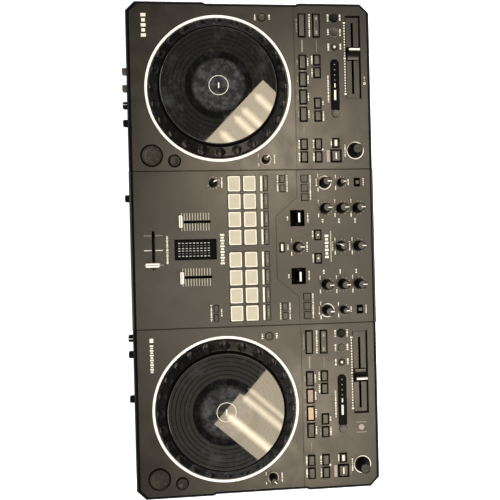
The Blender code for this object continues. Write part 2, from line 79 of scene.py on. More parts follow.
CASE_MIN, CASE_MAX = node_box("bottom_case")
BODY_HALF_W, BODY_HALF_D = CASE_MAX.x, CASE_MAX.y
PLATE_TOP = node_box("mixer_panel")[1].z
SEAM_X = node_box("mixer_panel")[1].x + 0.3
DECK_X = node_middle("right_light_ring")[0]
DECKS = {"left": -DECK_X, "right": DECK_X}
SIDES = {"left": -1, "right": 1}

PRINT = PLATE_TOP + 0.06           # the level of ink on the plates
PRINT_T = 0.05
random_marks = random.Random(11)


# Finishes

DUST = [0.42, 0.40, 0.36, 1.0]
CUT_EDGE_SHADE = [0.004, 0.004, 0.004, 1.0]
RECORD_COLOUR = (0.0100, 0.0095, 0.0085)
RECORD_GROOVE = [0.0015, 0.0015, 0.0015, 1.0]
RECORD_RING = [0.003, 0.003, 0.003, 1.0]
RECORD_SMEAR = [0.10, 0.10, 0.11, 1.0]
RECORD_HAZE = [0.050, 0.053, 0.058, 1.0]
RECORD_SPECK = [0.16, 0.16, 0.15, 1.0]
LABEL_DARK, LABEL_LIGHT = (0.022, 0.021, 0.022), (0.140, 0.140, 0.147)
RECORD_PITCH, RECORD_FINE_PITCH = 6.1, 1.1      # between the wide grooves, and between the fine ones
RECORD_LABEL_R, RECORD_INNER_R = 47.0, 36.0     # the dark ring round the label runs between them


def node_material(name):
    material = bpy.data.materials.new(name)
    material.use_nodes = True
    tree = material.node_tree
    return material, tree, tree.nodes["Principled BSDF"]


def add_node(tree, kind, **inputs):
    node = tree.nodes.new(kind)
    for key, value in inputs.items():
        node.inputs[key.replace("_", " ")].default_value = value
    return node


def tint(colour, factor):
    return [min(1.0, channel * factor) for channel in colour] + [1.0]


def mix_colours(tree, factor, first, second):
    """A colour mix. Each colour is four numbers or another node's output."""
    mix = tree.nodes.new("ShaderNodeMix")
    mix.data_type = "RGBA"
    tree.links.new(factor, mix.inputs["Factor"])
    for socket, colour in ((mix.inputs[6], first), (mix.inputs[7], second)):
        if isinstance(colour, list):
            socket.default_value = colour
        else:
            tree.links.new(colour, socket)
    return mix.outputs[2]


def math_node(tree, operation, first, second=0.0):
    node = tree.nodes.new("ShaderNodeMath")
    node.operation = operation
    for socket, value in zip(node.inputs, (first, second)):
        if isinstance(value, (int, float)):
            socket.default_value = value
        else:
            tree.links.new(value, socket)
    return node.outputs[0]


def spread(tree, value, low, high, to_low, to_high):
    """A value from one range put into another, and held there."""
    node = tree.nodes.new("ShaderNodeMapRange")
    tree.links.new(value, node.inputs["Value"])
    for key, number in (("From Min", low), ("From Max", high), ("To Min", to_low), ("To Max", to_high)):
        node.inputs[key].default_value = number
    return node.outputs["Result"]


def noise(tree, size_mm, detail=2.0, rough=0.5, shift=0.0):
    """Noise whose cells are about size_mm across, fixed to the piece. shift picks another pattern."""
    coordinates = tree.nodes.new("ShaderNodeTexCoord")
    node = add_node(tree, "ShaderNodeTexNoise", Scale=1000.0 / size_mm, Detail=detail, Roughness=rough)
    vector = coordinates.outputs["Object"]
    if shift:
        moved = tree.nodes.new("ShaderNodeVectorMath")
        moved.inputs[1].default_value = (shift, shift, shift)
        tree.links.new(vector, moved.inputs[0])
        vector = moved.outputs[0]
    tree.links.new(vector, node.inputs["Vector"])
    return node.outputs["Fac"]


def add_bump(tree, shader, height, distance_mm):
    bump = add_node(tree, "ShaderNodeBump", Strength=1.0, Distance=distance_mm * MM)
    tree.links.new(height, bump.inputs["Height"])
    tree.links.new(bump.outputs["Normal"], shader.inputs["Normal"])


def moulded(name, colour, roughness, grain_mm=0.5, grain_depth=0.03, mottle=0.12, patch_mm=14.0,
            gloss_change=0.08, specular=0.3, coat=0.0, coat_roughness=0.05, glow=0.0, metallic=0.0,
            dust=0.0, dust_mm=0.9):
    """Moulded plastic or rubber: fine grain, slow changes of tone and gloss, and a little dust."""
    material, tree, shader = node_material(name)
    patches = noise(tree, patch_mm, 3.0)
    base = mix_colours(tree, spread(tree, patches, 0.3, 0.7, 0.0, 1.0), tint(colour, 1 - mottle),
                       tint(colour, 1 + mottle))
    if dust:
        specks = spread(tree, noise(tree, dust_mm, 1.0), 0.60, 0.74, 0.0, dust)
        base = mix_colours(tree, specks, base, DUST)
    tree.links.new(base, shader.inputs["Base Color"])
    gloss = spread(tree, noise(tree, patch_mm / 3, 2.0), 0.3, 0.7, roughness - gloss_change,
                   roughness + gloss_change)
    tree.links.new(gloss, shader.inputs["Roughness"])
    shader.inputs["Specular IOR Level"].default_value = specular
    shader.inputs["Metallic"].default_value = metallic
    shader.inputs["Coat Weight"].default_value = coat
    shader.inputs["Coat Roughness"].default_value = coat_roughness
    if glow:
        shader.inputs["Emission Color"].default_value = tint(colour, 1.0)
        shader.inputs["Emission Strength"].default_value = glow
    add_bump(tree, shader, noise(tree, grain_mm, 2.0, 0.6), grain_depth)
    return material


def plate_finish(name, colour, roughness):
    """Satin painted plate: the flat top has the paint's tone, and its cut and bevelled edges are painted
    black as shade.
    """
    material, tree, shader = node_material(name)
    patches = mix_colours(tree, spread(tree, noise(tree, 60.0, 3.0), 0.3, 0.7, 0.0, 1.0), tint(colour, 0.92),
                          tint(colour, 1.08))
    grain = mix_colours(tree, spread(tree, noise(tree, 0.7, 2.0), 0.35, 0.65, 0.0, 0.35), patches,
                        tint(colour, 1.35))
    geometry = tree.nodes.new("ShaderNodeNewGeometry")
    axes = tree.nodes.new("ShaderNodeSeparateXYZ")
    tree.links.new(geometry.outputs["True Normal"], axes.inputs[0])
    # The edges' black is painted shade: the mask is 0 where the surface tilts away from flat.
    flat = spread(tree, axes.outputs["Z"], 0.80, 0.95, 0.0, 1.0)
    tree.links.new(mix_colours(tree, flat, CUT_EDGE_SHADE, grain), shader.inputs["Base Color"])
    tree.links.new(spread(tree, flat, 0.0, 1.0, 0.04, 0.62), shader.inputs["Specular IOR Level"])
    gloss = spread(tree, noise(tree, 25.0, 2.0), 0.3, 0.7, roughness - 0.04, roughness + 0.05)
    tree.links.new(gloss, shader.inputs["Roughness"])
    add_bump(tree, shader, noise(tree, 0.45, 2.0, 0.6), 0.025)
    return material


def axis_distance(tree):
    """The distance from the piece's own Z axis, in millimetres."""
    coordinates = tree.nodes.new("ShaderNodeTexCoord")
    flatten = tree.nodes.new("ShaderNodeVectorMath")
    flatten.operation = "MULTIPLY"
    flatten.inputs[1].default_value = (1 / MM, 1 / MM, 0.0)
    tree.links.new(coordinates.outputs["Object"], flatten.inputs[0])
    length = tree.nodes.new("ShaderNodeVectorMath")
    length.operation = "LENGTH"
    tree.links.new(flatten.outputs[0], length.inputs[0])
    return length.outputs["Value"]


def record_finish(name, tone, groove, label_tone, shift):
    """The jog plate: turned bands under a clear coat, a label zone, and the smears and dust of use."""
    material, tree, shader = node_material(name)

    def cloud(size_mm, detail, rough, offset, low, high, most):
        """Patches of one kind of wear, from none to the most of it."""
        return spread(tree, noise(tree, size_mm, detail, rough, shift + offset), low, high, 0.0, most)

    radius = axis_distance(tree)
    fine = math_node(tree, "SINE", math_node(tree, "MULTIPLY", radius, 2 * math.pi / RECORD_FINE_PITCH))
    turned = mix_colours(tree, spread(tree, fine, -1.0, 1.0, 0.0, 1.0), tint(RECORD_COLOUR, 0.9 * tone),
                         tint(RECORD_COLOUR, 1.1 * tone))
    from_label = math_node(tree, "SUBTRACT", radius, RECORD_LABEL_R)
    place = math_node(tree, "FRACT", math_node(tree, "DIVIDE", from_label, RECORD_PITCH))
    off_line = math_node(tree, "ABSOLUTE", math_node(tree, "SUBTRACT", place, 0.5))
    line = spread(tree, off_line, 0.39, 0.45, 0.0, groove)
    banded = mix_colours(tree, line, turned, RECORD_GROOVE)

    smear = cloud(15.0, 5.0, 0.68, 0.0, 0.50, 0.78, 1.0)
    label = mix_colours(tree, cloud(13.0, 6.0, 0.74, 1.0, 0.44, 0.80, 1.0), tint(LABEL_DARK, label_tone),
                        tint(LABEL_LIGHT, label_tone))
    dark_ring = mix_colours(tree, spread(tree, smear, 0.0, 1.0, 0.0, 0.22), RECORD_RING, RECORD_SMEAR)
    in_ring = spread(tree, radius, RECORD_INNER_R - 3.0, RECORD_INNER_R + 3.0, 0.0, 1.0)
    middle = mix_colours(tree, in_ring, label, dark_ring)
    smeared = mix_colours(tree, spread(tree, smear, 0.3, 1.0, 0.0, 0.25), banded, RECORD_SMEAR)
    hazy = mix_colours(tree, cloud(34.0, 5.0, 0.66, 2.0, 0.53, 0.74, 0.80), smeared, RECORD_HAZE)
    outside = spread(tree, radius, RECORD_LABEL_R - 0.4, RECORD_LABEL_R + 0.4, 0.0, 1.0)
    zones = mix_colours(tree, outside, middle, hazy)
    dusty = mix_colours(tree, cloud(1.3, 1.0, 0.5, 0.0, 0.70, 0.76, 0.35), zones, RECORD_SPECK)
    tree.links.new(dusty, shader.inputs["Base Color"])
    shader.inputs["Roughness"].default_value = 0.45
    shader.inputs["Specular IOR Level"].default_value = 0.0
    shader.inputs["Coat Weight"].default_value = 1.0
    tree.links.new(cloud(22.0, 4.0, 0.6, 0.0, 0.40, 0.75, 0.05), shader.inputs["Coat Roughness"])
    add_bump(tree, shader, noise(tree, 30.0, 1.0), 0.01)
    return material


# What the grey key caps, the black rubbers and the inks share
KEY_GRAIN = {"roughness": 0.40, "patch_mm": 9.0, "specular": 0.5}
RUBBER_GRAIN = {"colour": (0.0045, 0.0045, 0.0045), "grain_depth": 0.04, "specular": 0.08}
INK_GRAIN = {"roughness": 0.50, "grain_depth": 0.008}

FINISH = {
    "case": moulded("case_plastic", (0.006, 0.0056, 0.005), 0.60, grain_mm=0.6, grain_depth=0.02,
                    mottle=0.06, gloss_change=0.03, specular=0.12),
    "plate": plate_finish("plate_paint", (0.0090, 0.0078, 0.0060), 0.33),
    "key": moulded("key_plastic", (0.055, 0.049, 0.040), **KEY_GRAIN),
    "key_faint": moulded("key_faint", (0.030, 0.027, 0.022), **KEY_GRAIN),
    "key_flush": moulded("key_flush", (0.050, 0.044, 0.038), **KEY_GRAIN),
    "key_dark": moulded("key_dark", (0.004, 0.004, 0.004), 0.40, patch_mm=6.0, specular=0.12, dust=0.10),
    "key_peach": moulded("key_peach", (0.56, 0.40, 0.24), 0.40, patch_mm=9.0),
    "key_pink": moulded("key_pink", (0.34, 0.245, 0.18), 0.40, patch_mm=9.0),
    "button": moulded("button_plastic", (0.015, 0.0135, 0.0105), 0.40, patch_mm=5.0, mottle=0.45,
                      dust=0.16, dust_mm=2.4),
    "pad": moulded("pad_silicone", (0.535, 0.49, 0.375), 0.60, grain_mm=0.35, grain_depth=0.02,
                   mottle=0.035, patch_mm=11.0, specular=0.2),
    # The pads' border is painted lighter than their face as a painted highlight.
    "pad_rim_highlight": moulded("pad_rim_highlight", (0.82, 0.78, 0.66), 0.55, grain_mm=0.35, mottle=0.03, specular=0.2),
    "rubber": moulded("knob_rubber", roughness=0.55, dust=0.05, **RUBBER_GRAIN),
    "speckled": moulded("encoder_rubber", roughness=0.50, dust=0.16, dust_mm=2.6, **RUBBER_GRAIN),
    "foot": moulded("foot_rubber", (0.012, 0.012, 0.012), 0.85, grain_mm=0.9, grain_depth=0.08),
    "grey": moulded("grey_cap", (0.13, 0.115, 0.095), 0.42, patch_mm=5.0),
    "knob_top": moulded("knob_top", (0.064, 0.058, 0.049), 0.45, patch_mm=4.0, mottle=0.35),
    "encoder_top": moulded("encoder_top", (0.050, 0.044, 0.036), 0.50, patch_mm=4.0, mottle=0.5,
                           specular=0.2),
    # The white caps, pointers and lines glow faintly as painted light; they are no lamps.
    "white": moulded("white_cap", (0.88, 0.84, 0.74), 0.35, grain_depth=0.01, mottle=0.03, glow=0.10),
    "rim": moulded("jog_rim", (0.0026, 0.0021, 0.0016), 0.29, grain_depth=0.02, patch_mm=20.0,
                   specular=0.38, dust=0.015, gloss_change=0.04),
    # The right plate is painted brighter than the left, as painted light: the two plates are the same.
    "left_record": record_finish("left_jog_plate", 1.35, 0.8, 1.0, 0.3),
    "right_record": record_finish("right_jog_plate", 2.6, 1.0, 0.9, 0.7),
    "record_edge": moulded("jog_plate_edge", (0.10, 0.095, 0.085), 0.16, grain_depth=0.003, coat=1.0,
                           coat_roughness=0.10),
    "light": moulded("ring_light", (0.94, 0.91, 0.84), 0.35, grain_depth=0.005, mottle=0.02, glow=0.14),
    "window": moulded("window", (0.003, 0.003, 0.003), 0.25, grain_depth=0.002, patch_mm=20.0,
                      specular=0.02, gloss_change=0.03),
    "segment": moulded("meter_segment", (0.40, 0.39, 0.37), 0.40, patch_mm=6.0, mottle=0.35),
    "segment_dim": moulded("meter_segment_dim", (0.10, 0.10, 0.10), 0.40, patch_mm=6.0, mottle=0.35),
    "board": moulded("board_green", (0.02, 0.11, 0.05), 0.50, patch_mm=8.0, mottle=0.4),
    "metal": moulded("lever_metal", (0.30, 0.29, 0.27), 0.32, metallic=0.8, grain_depth=0.006),
    # Black is both real inlay and print and the painted shade of key sides, gaps, wells and edges.
    "black": moulded("black_inlay_and_shade", (0.0025, 0.0025, 0.0025), 0.60, grain_depth=0.01, specular=0.04),
    "ink": moulded("ink_white", (0.84, 0.80, 0.68), mottle=0.10, patch_mm=2.5, **INK_GRAIN),
    "ink_dim": moulded("ink_dim", (0.26, 0.24, 0.195), mottle=0.15, patch_mm=2.5, **INK_GRAIN),
    "ink_pale": moulded("ink_pale", (0.50, 0.46, 0.385), mottle=0.15, patch_mm=2.5, **INK_GRAIN),
    "ink_pink": moulded("ink_pink", (0.36, 0.30, 0.26), mottle=0.2, patch_mm=2.0, **INK_GRAIN),
}


# Shapes, all in millimetres

def add_part(bm, part):
    """Put one bmesh's faces into another, and free it."""
    mesh = bpy.data.meshes.new("part")
    part.to_mesh(mesh)
    part.free()
    bm.from_mesh(mesh)
    bpy.data.meshes.remove(mesh)


CORNER_STEPS = 3                   # facets of a rounded corner


def loft(x, y, width, depth, levels, corner=0.0):
    """Rounded rectangles one above another, joined into a solid.

    Each level is its inset, its height and the material of the band above it, or of the top.
    """
    bm = bmesh.new()
    rings = []
    for inset, height, _ in levels:
        radius = max(corner - inset, 0.05) if corner else 0.0
        half_w, half_d = width / 2 - inset - radius, depth / 2 - inset - radius
        ring = []
        for quarter, (sx, sy) in enumerate(((1, 1), (-1, 1), (-1, -1), (1, -1))):
            for step in range(CORNER_STEPS + 1 if corner else 1):
                turn = math.pi / 2 * (quarter + step / CORNER_STEPS)
                ring.append(bm.verts.new((x + sx * half_w + radius * math.cos(turn),
                                          y + sy * half_d + radius * math.sin(turn), height)))
        rings.append(ring)
    count = len(rings[0])
    for lower, upper, level in zip(rings, rings[1:], levels):
        for i in range(count):
            face = bm.faces.new([lower[i], lower[(i + 1) % count], upper[(i + 1) % count], upper[i]])
            face.material_index = level[2]
    bm.faces.new(rings[0][::-1]).material_index = levels[0][2]
    bm.faces.new(rings[-1]).material_index = levels[-1][2]
    return bm


def block(x, y, width, depth, low, top, corner=0.0, edge=0.0, material=0):
    """An upright block with rounded corners and a softened top edge."""
    levels = [(0, low, material), (0, top - edge, material)]
    if edge:
        levels += [(0.3 * edge, top - 0.3 * edge, material), (edge, top, material)]
    return loft(x, y, width, depth, levels, corner)


def lathe(rows, steps=48, flutes=0, closed=False):
    """Turn rows of (radius, height, flute depth, material) about Z, from the top down the outer side."""
    bm = bmesh.new()
    rings = []
    for radius, height, depth, _ in rows:
        if radius == 0:
            rings.append([bm.verts.new((0, 0, height))])
            continue
        ring = []
        for step in range(steps):
            angle = 2 * math.pi * step / steps
            reach = radius - depth * (0.5 - 0.5 * math.cos(flutes * angle))
            ring.append(bm.verts.new((reach * math.cos(angle), reach * math.sin(angle), height)))
        rings.append(ring)
    pairs = list(zip(rings, rings[1:], rows))
    if closed:
        pairs.append((rings[-1], rings[0], rows[-1]))
    for first, second, row in pairs:
        for step in range(steps):
            following = (step + 1) % steps
            corners = (first[step % len(first)], second[step % len(second)],
                       second[following % len(second)], first[following % len(first)])
            face = bm.faces.new(list(dict.fromkeys(corners)))
            face.material_index = row[3]
    bmesh.ops.recalc_face_normals(bm, faces=bm.faces)
    return bm


def key_block(x, y, width, depth, low, top, face, side, border):
    """A key whose flat face has one finish and whose sloping border and sides have another."""
    levels = [(0, low, side), (0, top - 0.5, side), (border * 0.5, top - 0.12, side), (border, top, face)]
    return loft(x, y, width, depth, levels, 0.8)


def plain_rows(profile, material=0):
    return [(radius, height, 0.0, material) for radius, height in profile]


def sheet(bm, points, material=0, z=PRINT):
    """A flat outline of ink or inlay, given by its corners. ink_piece gives it its thickness."""
    face = bm.faces.new([bm.verts.new((x, y, z)) for x, y in points])
    face.material_index = material
    face.normal_update()
    if face.normal.z < 0:
        face.normal_flip()


def rect(bm, x, y, width, depth, material=0, z=PRINT):
    left, right, front, rear = x - width / 2, x + width / 2, y - depth / 2, y + depth / 2
    sheet(bm, [(left, front), (right, front), (right, rear), (left, rear)], material, z)


def stroke(bm, start, end, width, material=0, z=PRINT):
    along = Vector(end) - Vector(start)
    side = Vector((-along.y, along.x)).normalized() * width / 2
    first, last = Vector(start), Vector(end)
    sheet(bm, [first - side, last - side, last + side, first + side], material, z)


def ring_mark(bm, x, y, inner, outer, material=0, start=0.0, sweep=360.0, z=PRINT, steps=48):
    """A flat ring, or a part of one from start degrees, counted from +X towards +Y."""
    count = max(6, int(steps * sweep / 360))
    rims = [[(x + r * math.cos(math.radians(start + sweep * i / count)),
              y + r * math.sin(math.radians(start + sweep * i / count))) for i in range(count + 1)]
            for r in (inner, outer)]
    for i in range(count):
        sheet(bm, [rims[0][i], rims[1][i], rims[1][i + 1], rims[0][i + 1]], material, z)


def disc_mark(bm, x, y, radius, material=0, z=PRINT, steps=20):
    turns = [2 * math.pi * i / steps for i in range(steps)]
    sheet(bm, [(x + radius * math.cos(t), y + radius * math.sin(t)) for t in turns], material, z)


def frame_mark(bm, x, y, width, depth, border, material=0, z=PRINT):
    """A rectangular frame whose inner edge is width by depth."""
    for sign in (-1, 1):
        rect(bm, x, y + sign * (depth + border) / 2, width + 2 * border, border, material, z)
        rect(bm, x + sign * (width + border) / 2, y, border, depth, material, z)


def word(bm, x, y, length, height, material=0, z=PRINT):
    """A row of short upright marks where the maker prints a word."""
    at = x - length / 2
    end = x + length / 2
    while at < end - 0.3:
        width = min(random_marks.uniform(0.8, 1.7), end - at)
        rect(bm, at + width / 2, y, width, height * random_marks.choice((1.0, 0.85, 0.6)), material, z)
        at += width + random_marks.choice((0.3, 0.45, 1.2))


# Placing

def add_piece(name, bm, finishes, body, place=(0, 0, 0), replaces=(), smooth=18):
    """Link a bmesh made in millimetres round a place as a piece that rides on a CAD body."""
    mesh = bpy.data.meshes.new(name)
    bm.to_mesh(mesh)
    bm.free()
    mesh.transform(Matrix.Scale(MM, 4))
    for finish in finishes:
        mesh.materials.append(FINISH[finish])
    mesh.shade_smooth()
    mesh.set_sharp_from_angle(angle=math.radians(smooth))
    piece = bpy.data.objects.new(name, mesh)
    bpy.context.scene.collection.objects.link(piece)
    piece.location = (place[0] * MM, place[1] * MM + OUTLINE_Y, place[2] * MM)
    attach(piece, body)
    if replaces:
        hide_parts(*replaces)
    return piece


def ink_piece(name, bm, finishes, place=(0, 0, 0), body="chassis"):
    """Give flat sheets their thickness and place them as one piece."""
    made = bmesh.ops.extrude_face_region(bm, geom=bm.faces[:], use_keep_orig=True)
    down = [item for item in made["geom"] if isinstance(item, bmesh.types.BMVert)]
    bmesh.ops.translate(bm, verts=down, vec=(0, 0, -PRINT_T))
    bmesh.ops.recalc_face_normals(bm, faces=bm.faces)
    return add_piece(name, bm, finishes, body, place)


def raised_tops(node):
    """The separate flat tops of a CAD node as (x, y, width, depth, is round), read from its mesh."""
    mesh = frame["nodes"][node].data
    top = max(vertex.co.z for vertex in mesh.vertices)
    key_of = {v.index: (round(v.co.x, 5), round(v.co.y, 5)) for v in mesh.vertices if v.co.z > top - 1e-5}
    group = {key: key for key in key_of.values()}

    def leader(key):
        while group[key] != key:
            key = group[key]
        return key

    for polygon in mesh.polygons:
        if all(index in key_of for index in polygon.vertices):
            first = leader(key_of[polygon.vertices[0]])
            for index in polygon.vertices[1:]:
                group[leader(key_of[index])] = first
    islands = {}
    for key in group:
        islands.setdefault(leader(key), []).append(key)
    tops = []
    for points in islands.values():
        xs, ys = [p[0] / MM for p in points], [(p[1] - OUTLINE_Y) / MM for p in points]
        tops.append(((min(xs) + max(xs)) / 2, (min(ys) + max(ys)) / 2, max(xs) - min(xs), max(ys) - min(ys),
                     len(points) > 8))
    return sorted(tops)


def near(place, x, y):
    """Whether a place is the one meant, to within 2 mm."""
    return abs(place[0] - x) < 2.0 and abs(place[1] - y) < 2.0


# Jog wheels

JOG_STEPS, JOG_SLOPE_STEPS = 336, 18
JOG_SLOPE_W, JOG_SLOPE_FALL = 12.5, 5.0
LIGHT_RING_R = 101.6               # inner
DIMPLES, DIMPLE_R, DIMPLE_MIDDLE, DIMPLE_DEPTH = 24, 6.2, 93.0, 2.0


def dimple(radius, angle):
    """How far the finger dimples sink the rim's slope at a place."""
    pitch = 2 * math.pi / DIMPLES
    off = (angle + pitch / 2) % pitch - pitch / 2
    gone = math.hypot(radius * math.cos(off) - DIMPLE_MIDDLE, radius * math.sin(off))
    sink = 0.0
    if gone < DIMPLE_R:
        sink = DIMPLE_DEPTH * (1 - (gone / DIMPLE_R) ** 3)
    return sink - 0.35 * math.exp(-((gone - DIMPLE_R - 0.3) / 0.6) ** 2)


def make_jog_rim(side):
    """The wheel: a well inside a dimpled slope, painted black as the shade in the gap round the plate, a
    skirt, and the hub and axle under it.
    """
    node = side + "_jog_wheel"
    x, y, width, _, low, shoulder = measure(node)
    outer, rim = width / 2, shoulder - JOG_SLOPE_FALL
    start_r, shoulder_r = outer - 0.4, outer - JOG_SLOPE_W
    shares = [i / JOG_SLOPE_STEPS for i in range(JOG_SLOPE_STEPS + 1)]
    slope = [(start_r - (start_r - shoulder_r) * share, rim + (shoulder - rim) * share) for share in shares]
    well_r = measure(side + "_jog_plate")[2] / 2 + 2.2
    # The well round the plate takes the black finish as painted shade.
    well = [(0, shoulder - 2.2), (well_r, shoulder - 2.2), (well_r, shoulder - 0.5), (well_r + 0.5, shoulder)]
    skirt, hub = low + 36, low + 34
    rows = slope[::-1] + [(outer, rim - 0.5), (outer, skirt), (outer - 4, skirt), (outer - 4, rim - 2),
                          (shoulder_r - 3, shoulder - 4), (20, shoulder - 4), (20, hub), (8, hub),
                          (8, low), (0, low)]
    bm = lathe(plain_rows(well, 1) + plain_rows(rows), steps=JOG_STEPS)
    for vertex in bm.verts:
        radius = math.hypot(vertex.co.x, vertex.co.y)
        if shoulder_r < radius < outer - 0.3 and vertex.co.z > rim - 1:
            vertex.co.z -= dimple(radius, math.atan2(vertex.co.y, vertex.co.x))
    add_piece(side + "_jog_rim", bm, ["rim", "black"], side + "_jog", (x, y, 0), [node], smooth=50)


def make_jog_plate(side):
    """The glossy plate on the wheel, with its pale edge and the printed ring and bar at its middle."""
    node, body = side + "_jog_plate", side + "_jog"
    x, y, width, _, low, top = measure(node)
    radius = width / 2
    rows = plain_rows([(0, top), (radius - 0.7, top)])
    rows += plain_rows([(radius - 0.7, top), (radius, top - 0.7)], 1)
    rows += plain_rows([(radius, low), (0, low)])
    add_piece(side + "_jog_record", lathe(rows, steps=128), [side + "_record", "record_edge"], body,
              (x, y, 0), [node])
    ink = bmesh.new()
    level = top + 0.02
    ring_mark(ink, 0, 0, 13.1, 13.9, 0, z=level, steps=96)
    rect(ink, 0, 0, 8.0, 1.8, 0, z=level)
    ink_piece(side + "_jog_mark", ink, ["ink"], (x, y, 0), body)


def make_light_ring(side):
    node = side + "_light_ring"
    x, y, width, _, low, top = measure(node)
    outer = width / 2
    rows = [(LIGHT_RING_R, top - 0.3), (LIGHT_RING_R + 0.3, top), (outer - 0.3, top), (outer, top - 0.3),
            (outer, low), (LIGHT_RING_R, low)]
    add_piece(side + "_ring", lathe(plain_rows(rows), steps=144, closed=True), ["light"], "chassis",
              (x, y, 0), [node])


# Knobs

CAP_GAP = 0.3                      # between the plate and the caps that stand on it
SHAFT_R, SHAFT_L = 3, 8
FLUTE_DEPTH = 0.3


def fluted_rows(base_r, top_r, low, top, skirt):
    """A knob: inset top disc, softened rim, fluted side and a short skirt, with its shaft below."""
    disc = top - 0.35
    return [(0, disc, 0, 1), (top_r - 1.8, disc, 0, 1), (top_r - 1.4, top - 0.1, 0, 0),
            (top_r - 0.4, top - 0.1, 0, 0), (top_r, top - 0.6, FLUTE_DEPTH, 0),
            (base_r - 0.7, low + skirt + 0.6, FLUTE_DEPTH, 0), (base_r - 0.3, low + skirt, 0, 0),
            (base_r, low + skirt - 0.4, 0, 0), (base_r, low, 0, 0), (SHAFT_R, low, 0, 0),
            (SHAFT_R, low - SHAFT_L, 0, 0), (0, low - SHAFT_L, 0, 0)]


def make_knob(node, top_share=0.83, skirt=2.4, flutes=18, turn=0.0,
              finishes=("rubber", "knob_top", "white"), pointer=1.2):
    """A turned knob with its white pointer, standing where its CAD node stands."""
    x, y, width, _, _, top = measure(node)
    base_r = width / 2
    top_r = base_r * top_share
    foot = PLATE_TOP + CAP_GAP
    bm = lathe(fluted_rows(base_r, top_r, foot, top, skirt), steps=flutes * 5, flutes=flutes)
    if pointer:
        add_part(bm, block(0, top_r * 0.56, pointer, top_r * 0.86, top - 1.2, top, 0, 0.1, 2))
        rise = top - foot - skirt - 1.2
        lean = block(0, 0, pointer, 0.5, 0, rise, 0, 0, 2)
        slope = Matrix.Rotation(math.atan2(base_r - 0.7 - top_r, rise), 4, "X")
        lean.transform(Matrix.Translation((0, base_r - 0.55, foot + skirt + 0.6)) @ slope)
        add_part(bm, lean)
    bm.transform(Matrix.Rotation(math.radians(turn), 4, "Z"))
    add_piece(node + "_turned", bm, finishes, node, (x, y, 0), [node])


def make_front_knob(node, finishes, pointer):
    """A small fluted knob on the front wall, turned about Y."""
    low, high = node_box(node)
    x, _, width, *_ = measure(node)
    radius, wall, z = width / 2, -BODY_HALF_D, (low.z + high.z) / 2
    reach = wall - low.y
    rows = [(0, reach - 0.3, 0, 1), (radius - 1.6, reach - 0.3, 0, 1), (radius - 1.3, reach, 0, 0),
            (radius - 0.9, reach, 0, 0), (radius - 0.5, reach - 0.5, 0.25, 0), (radius - 0.2, 1.4, 0.25, 0),
            (radius, 1.0, 0, 0), (radius, 0.4, 0, 0), (2.5, 0.4, 0, 0), (2.5, -SHAFT_L, 0, 0),
            (0, -SHAFT_L, 0, 0)]
    bm = lathe(rows, steps=80, flutes=16)
    if pointer:
        add_part(bm, block(0, radius - 0.35, 1.2, 0.6, 1.4, reach - 0.4, 0, 0, 2))
        add_part(bm, block(0, (radius - 1) / 2, 1.2, radius - 1.4, reach - 0.8, reach, 0, 0, 2))
    bm.transform(Matrix.Rotation(math.pi / 2, 4, "X"))
    add_piece(node + "_turned", bm, finishes, node, (x, wall, z), [node])


# Keys, pads and buttons

# Key finishes: grey, the two lit ones, the sides and carrier sheets in painted black shade, the darkest, one
# that matches its panel, and mode keys
KEY, PEACH, ROSE, SHADE, DARK, FAINT, FLUSH = range(7)
KEY_FINISHES = ["key", "key_peach", "key_pink", "black", "key_dark", "key_faint", "key_flush"]

# Places of rows of keys, those of a deck from its middle
ROUND_KEYS_X, ROUND_KEYS_Y = (-102.9, -81.9, -60.5), 123.7
HOT_KEYS_X, HOT_KEYS_Y = (-38.2, -13.1, 12.4, 37.3), 76.0
LONG_KEY_Y, REAR_KEY_Y = 97.3, 122.6
EDGE_KEY_X, EDGE_KEY_Y = -102.5, 18.0
MODE_KEYS_X, MODE_KEYS_Y = (16.1, 41.8, 67.6, 93.3), 17.7


def make_keys(node, body, sheets, style):
    """The keys of one carrier, each with its own finish, and the carrier sheet that joins them; sides and
    sheet in painted black shade.
    """
    *_, low, top = measure(node)
    bm = bmesh.new()
    for x, y, width, depth, is_round in raised_tops(node):
        finish = style(x, y)
        if is_round:
            radius = width / 2
            rows = [(0, top - 0.15), (radius - 1.0, top - 0.1), (radius - 0.4, top),
                    (radius, top - 0.4), (radius, low + 1), (0, low + 1)]
            cap = lathe(plain_rows(rows, finish), steps=32)
            cap.transform(Matrix.Translation((x, y, 0)))
            add_part(bm, cap)
        else:
            border = 0.5 if finish in (FAINT, FLUSH) else min(1.5, depth * 0.15)
            add_part(bm, key_block(x, y, width, depth, low + 1, top, finish, SHADE, border))
    for x, y, width, depth in sheets:
        add_part(bm, block(x, y, width, depth, low, low + 1.5, material=SHADE))
    add_piece(node + "_caps", bm, KEY_FINISHES, body, (0, 0, 0), [node])


def deck_style(deck_x):
    """The finish of each key of a deck. Two keys are lit on the right deck only."""
    special = {(ROUND_KEYS_X[0], ROUND_KEYS_Y): DARK, (ROUND_KEYS_X[1], ROUND_KEYS_Y): FAINT,
               (EDGE_KEY_X, EDGE_KEY_Y): FAINT}
    if deck_x > 0:
        special[HOT_KEYS_X[2], HOT_KEYS_Y] = PEACH
        special[HOT_KEYS_X[1], HOT_KEYS_Y] = ROSE

    def style(x, y):
        for place, finish in special.items():
            if near(place, x - deck_x, y):
                return finish
        return KEY
    return style


def mixer_style(x, y):
    mode_key = 10 < y < 20
    shift_key = 35 < y < 50 and abs(x) > 60
    if mode_key or shift_key:
        return FLUSH
    if 60 < y < 80 or y < -40:
        return FAINT
    return KEY


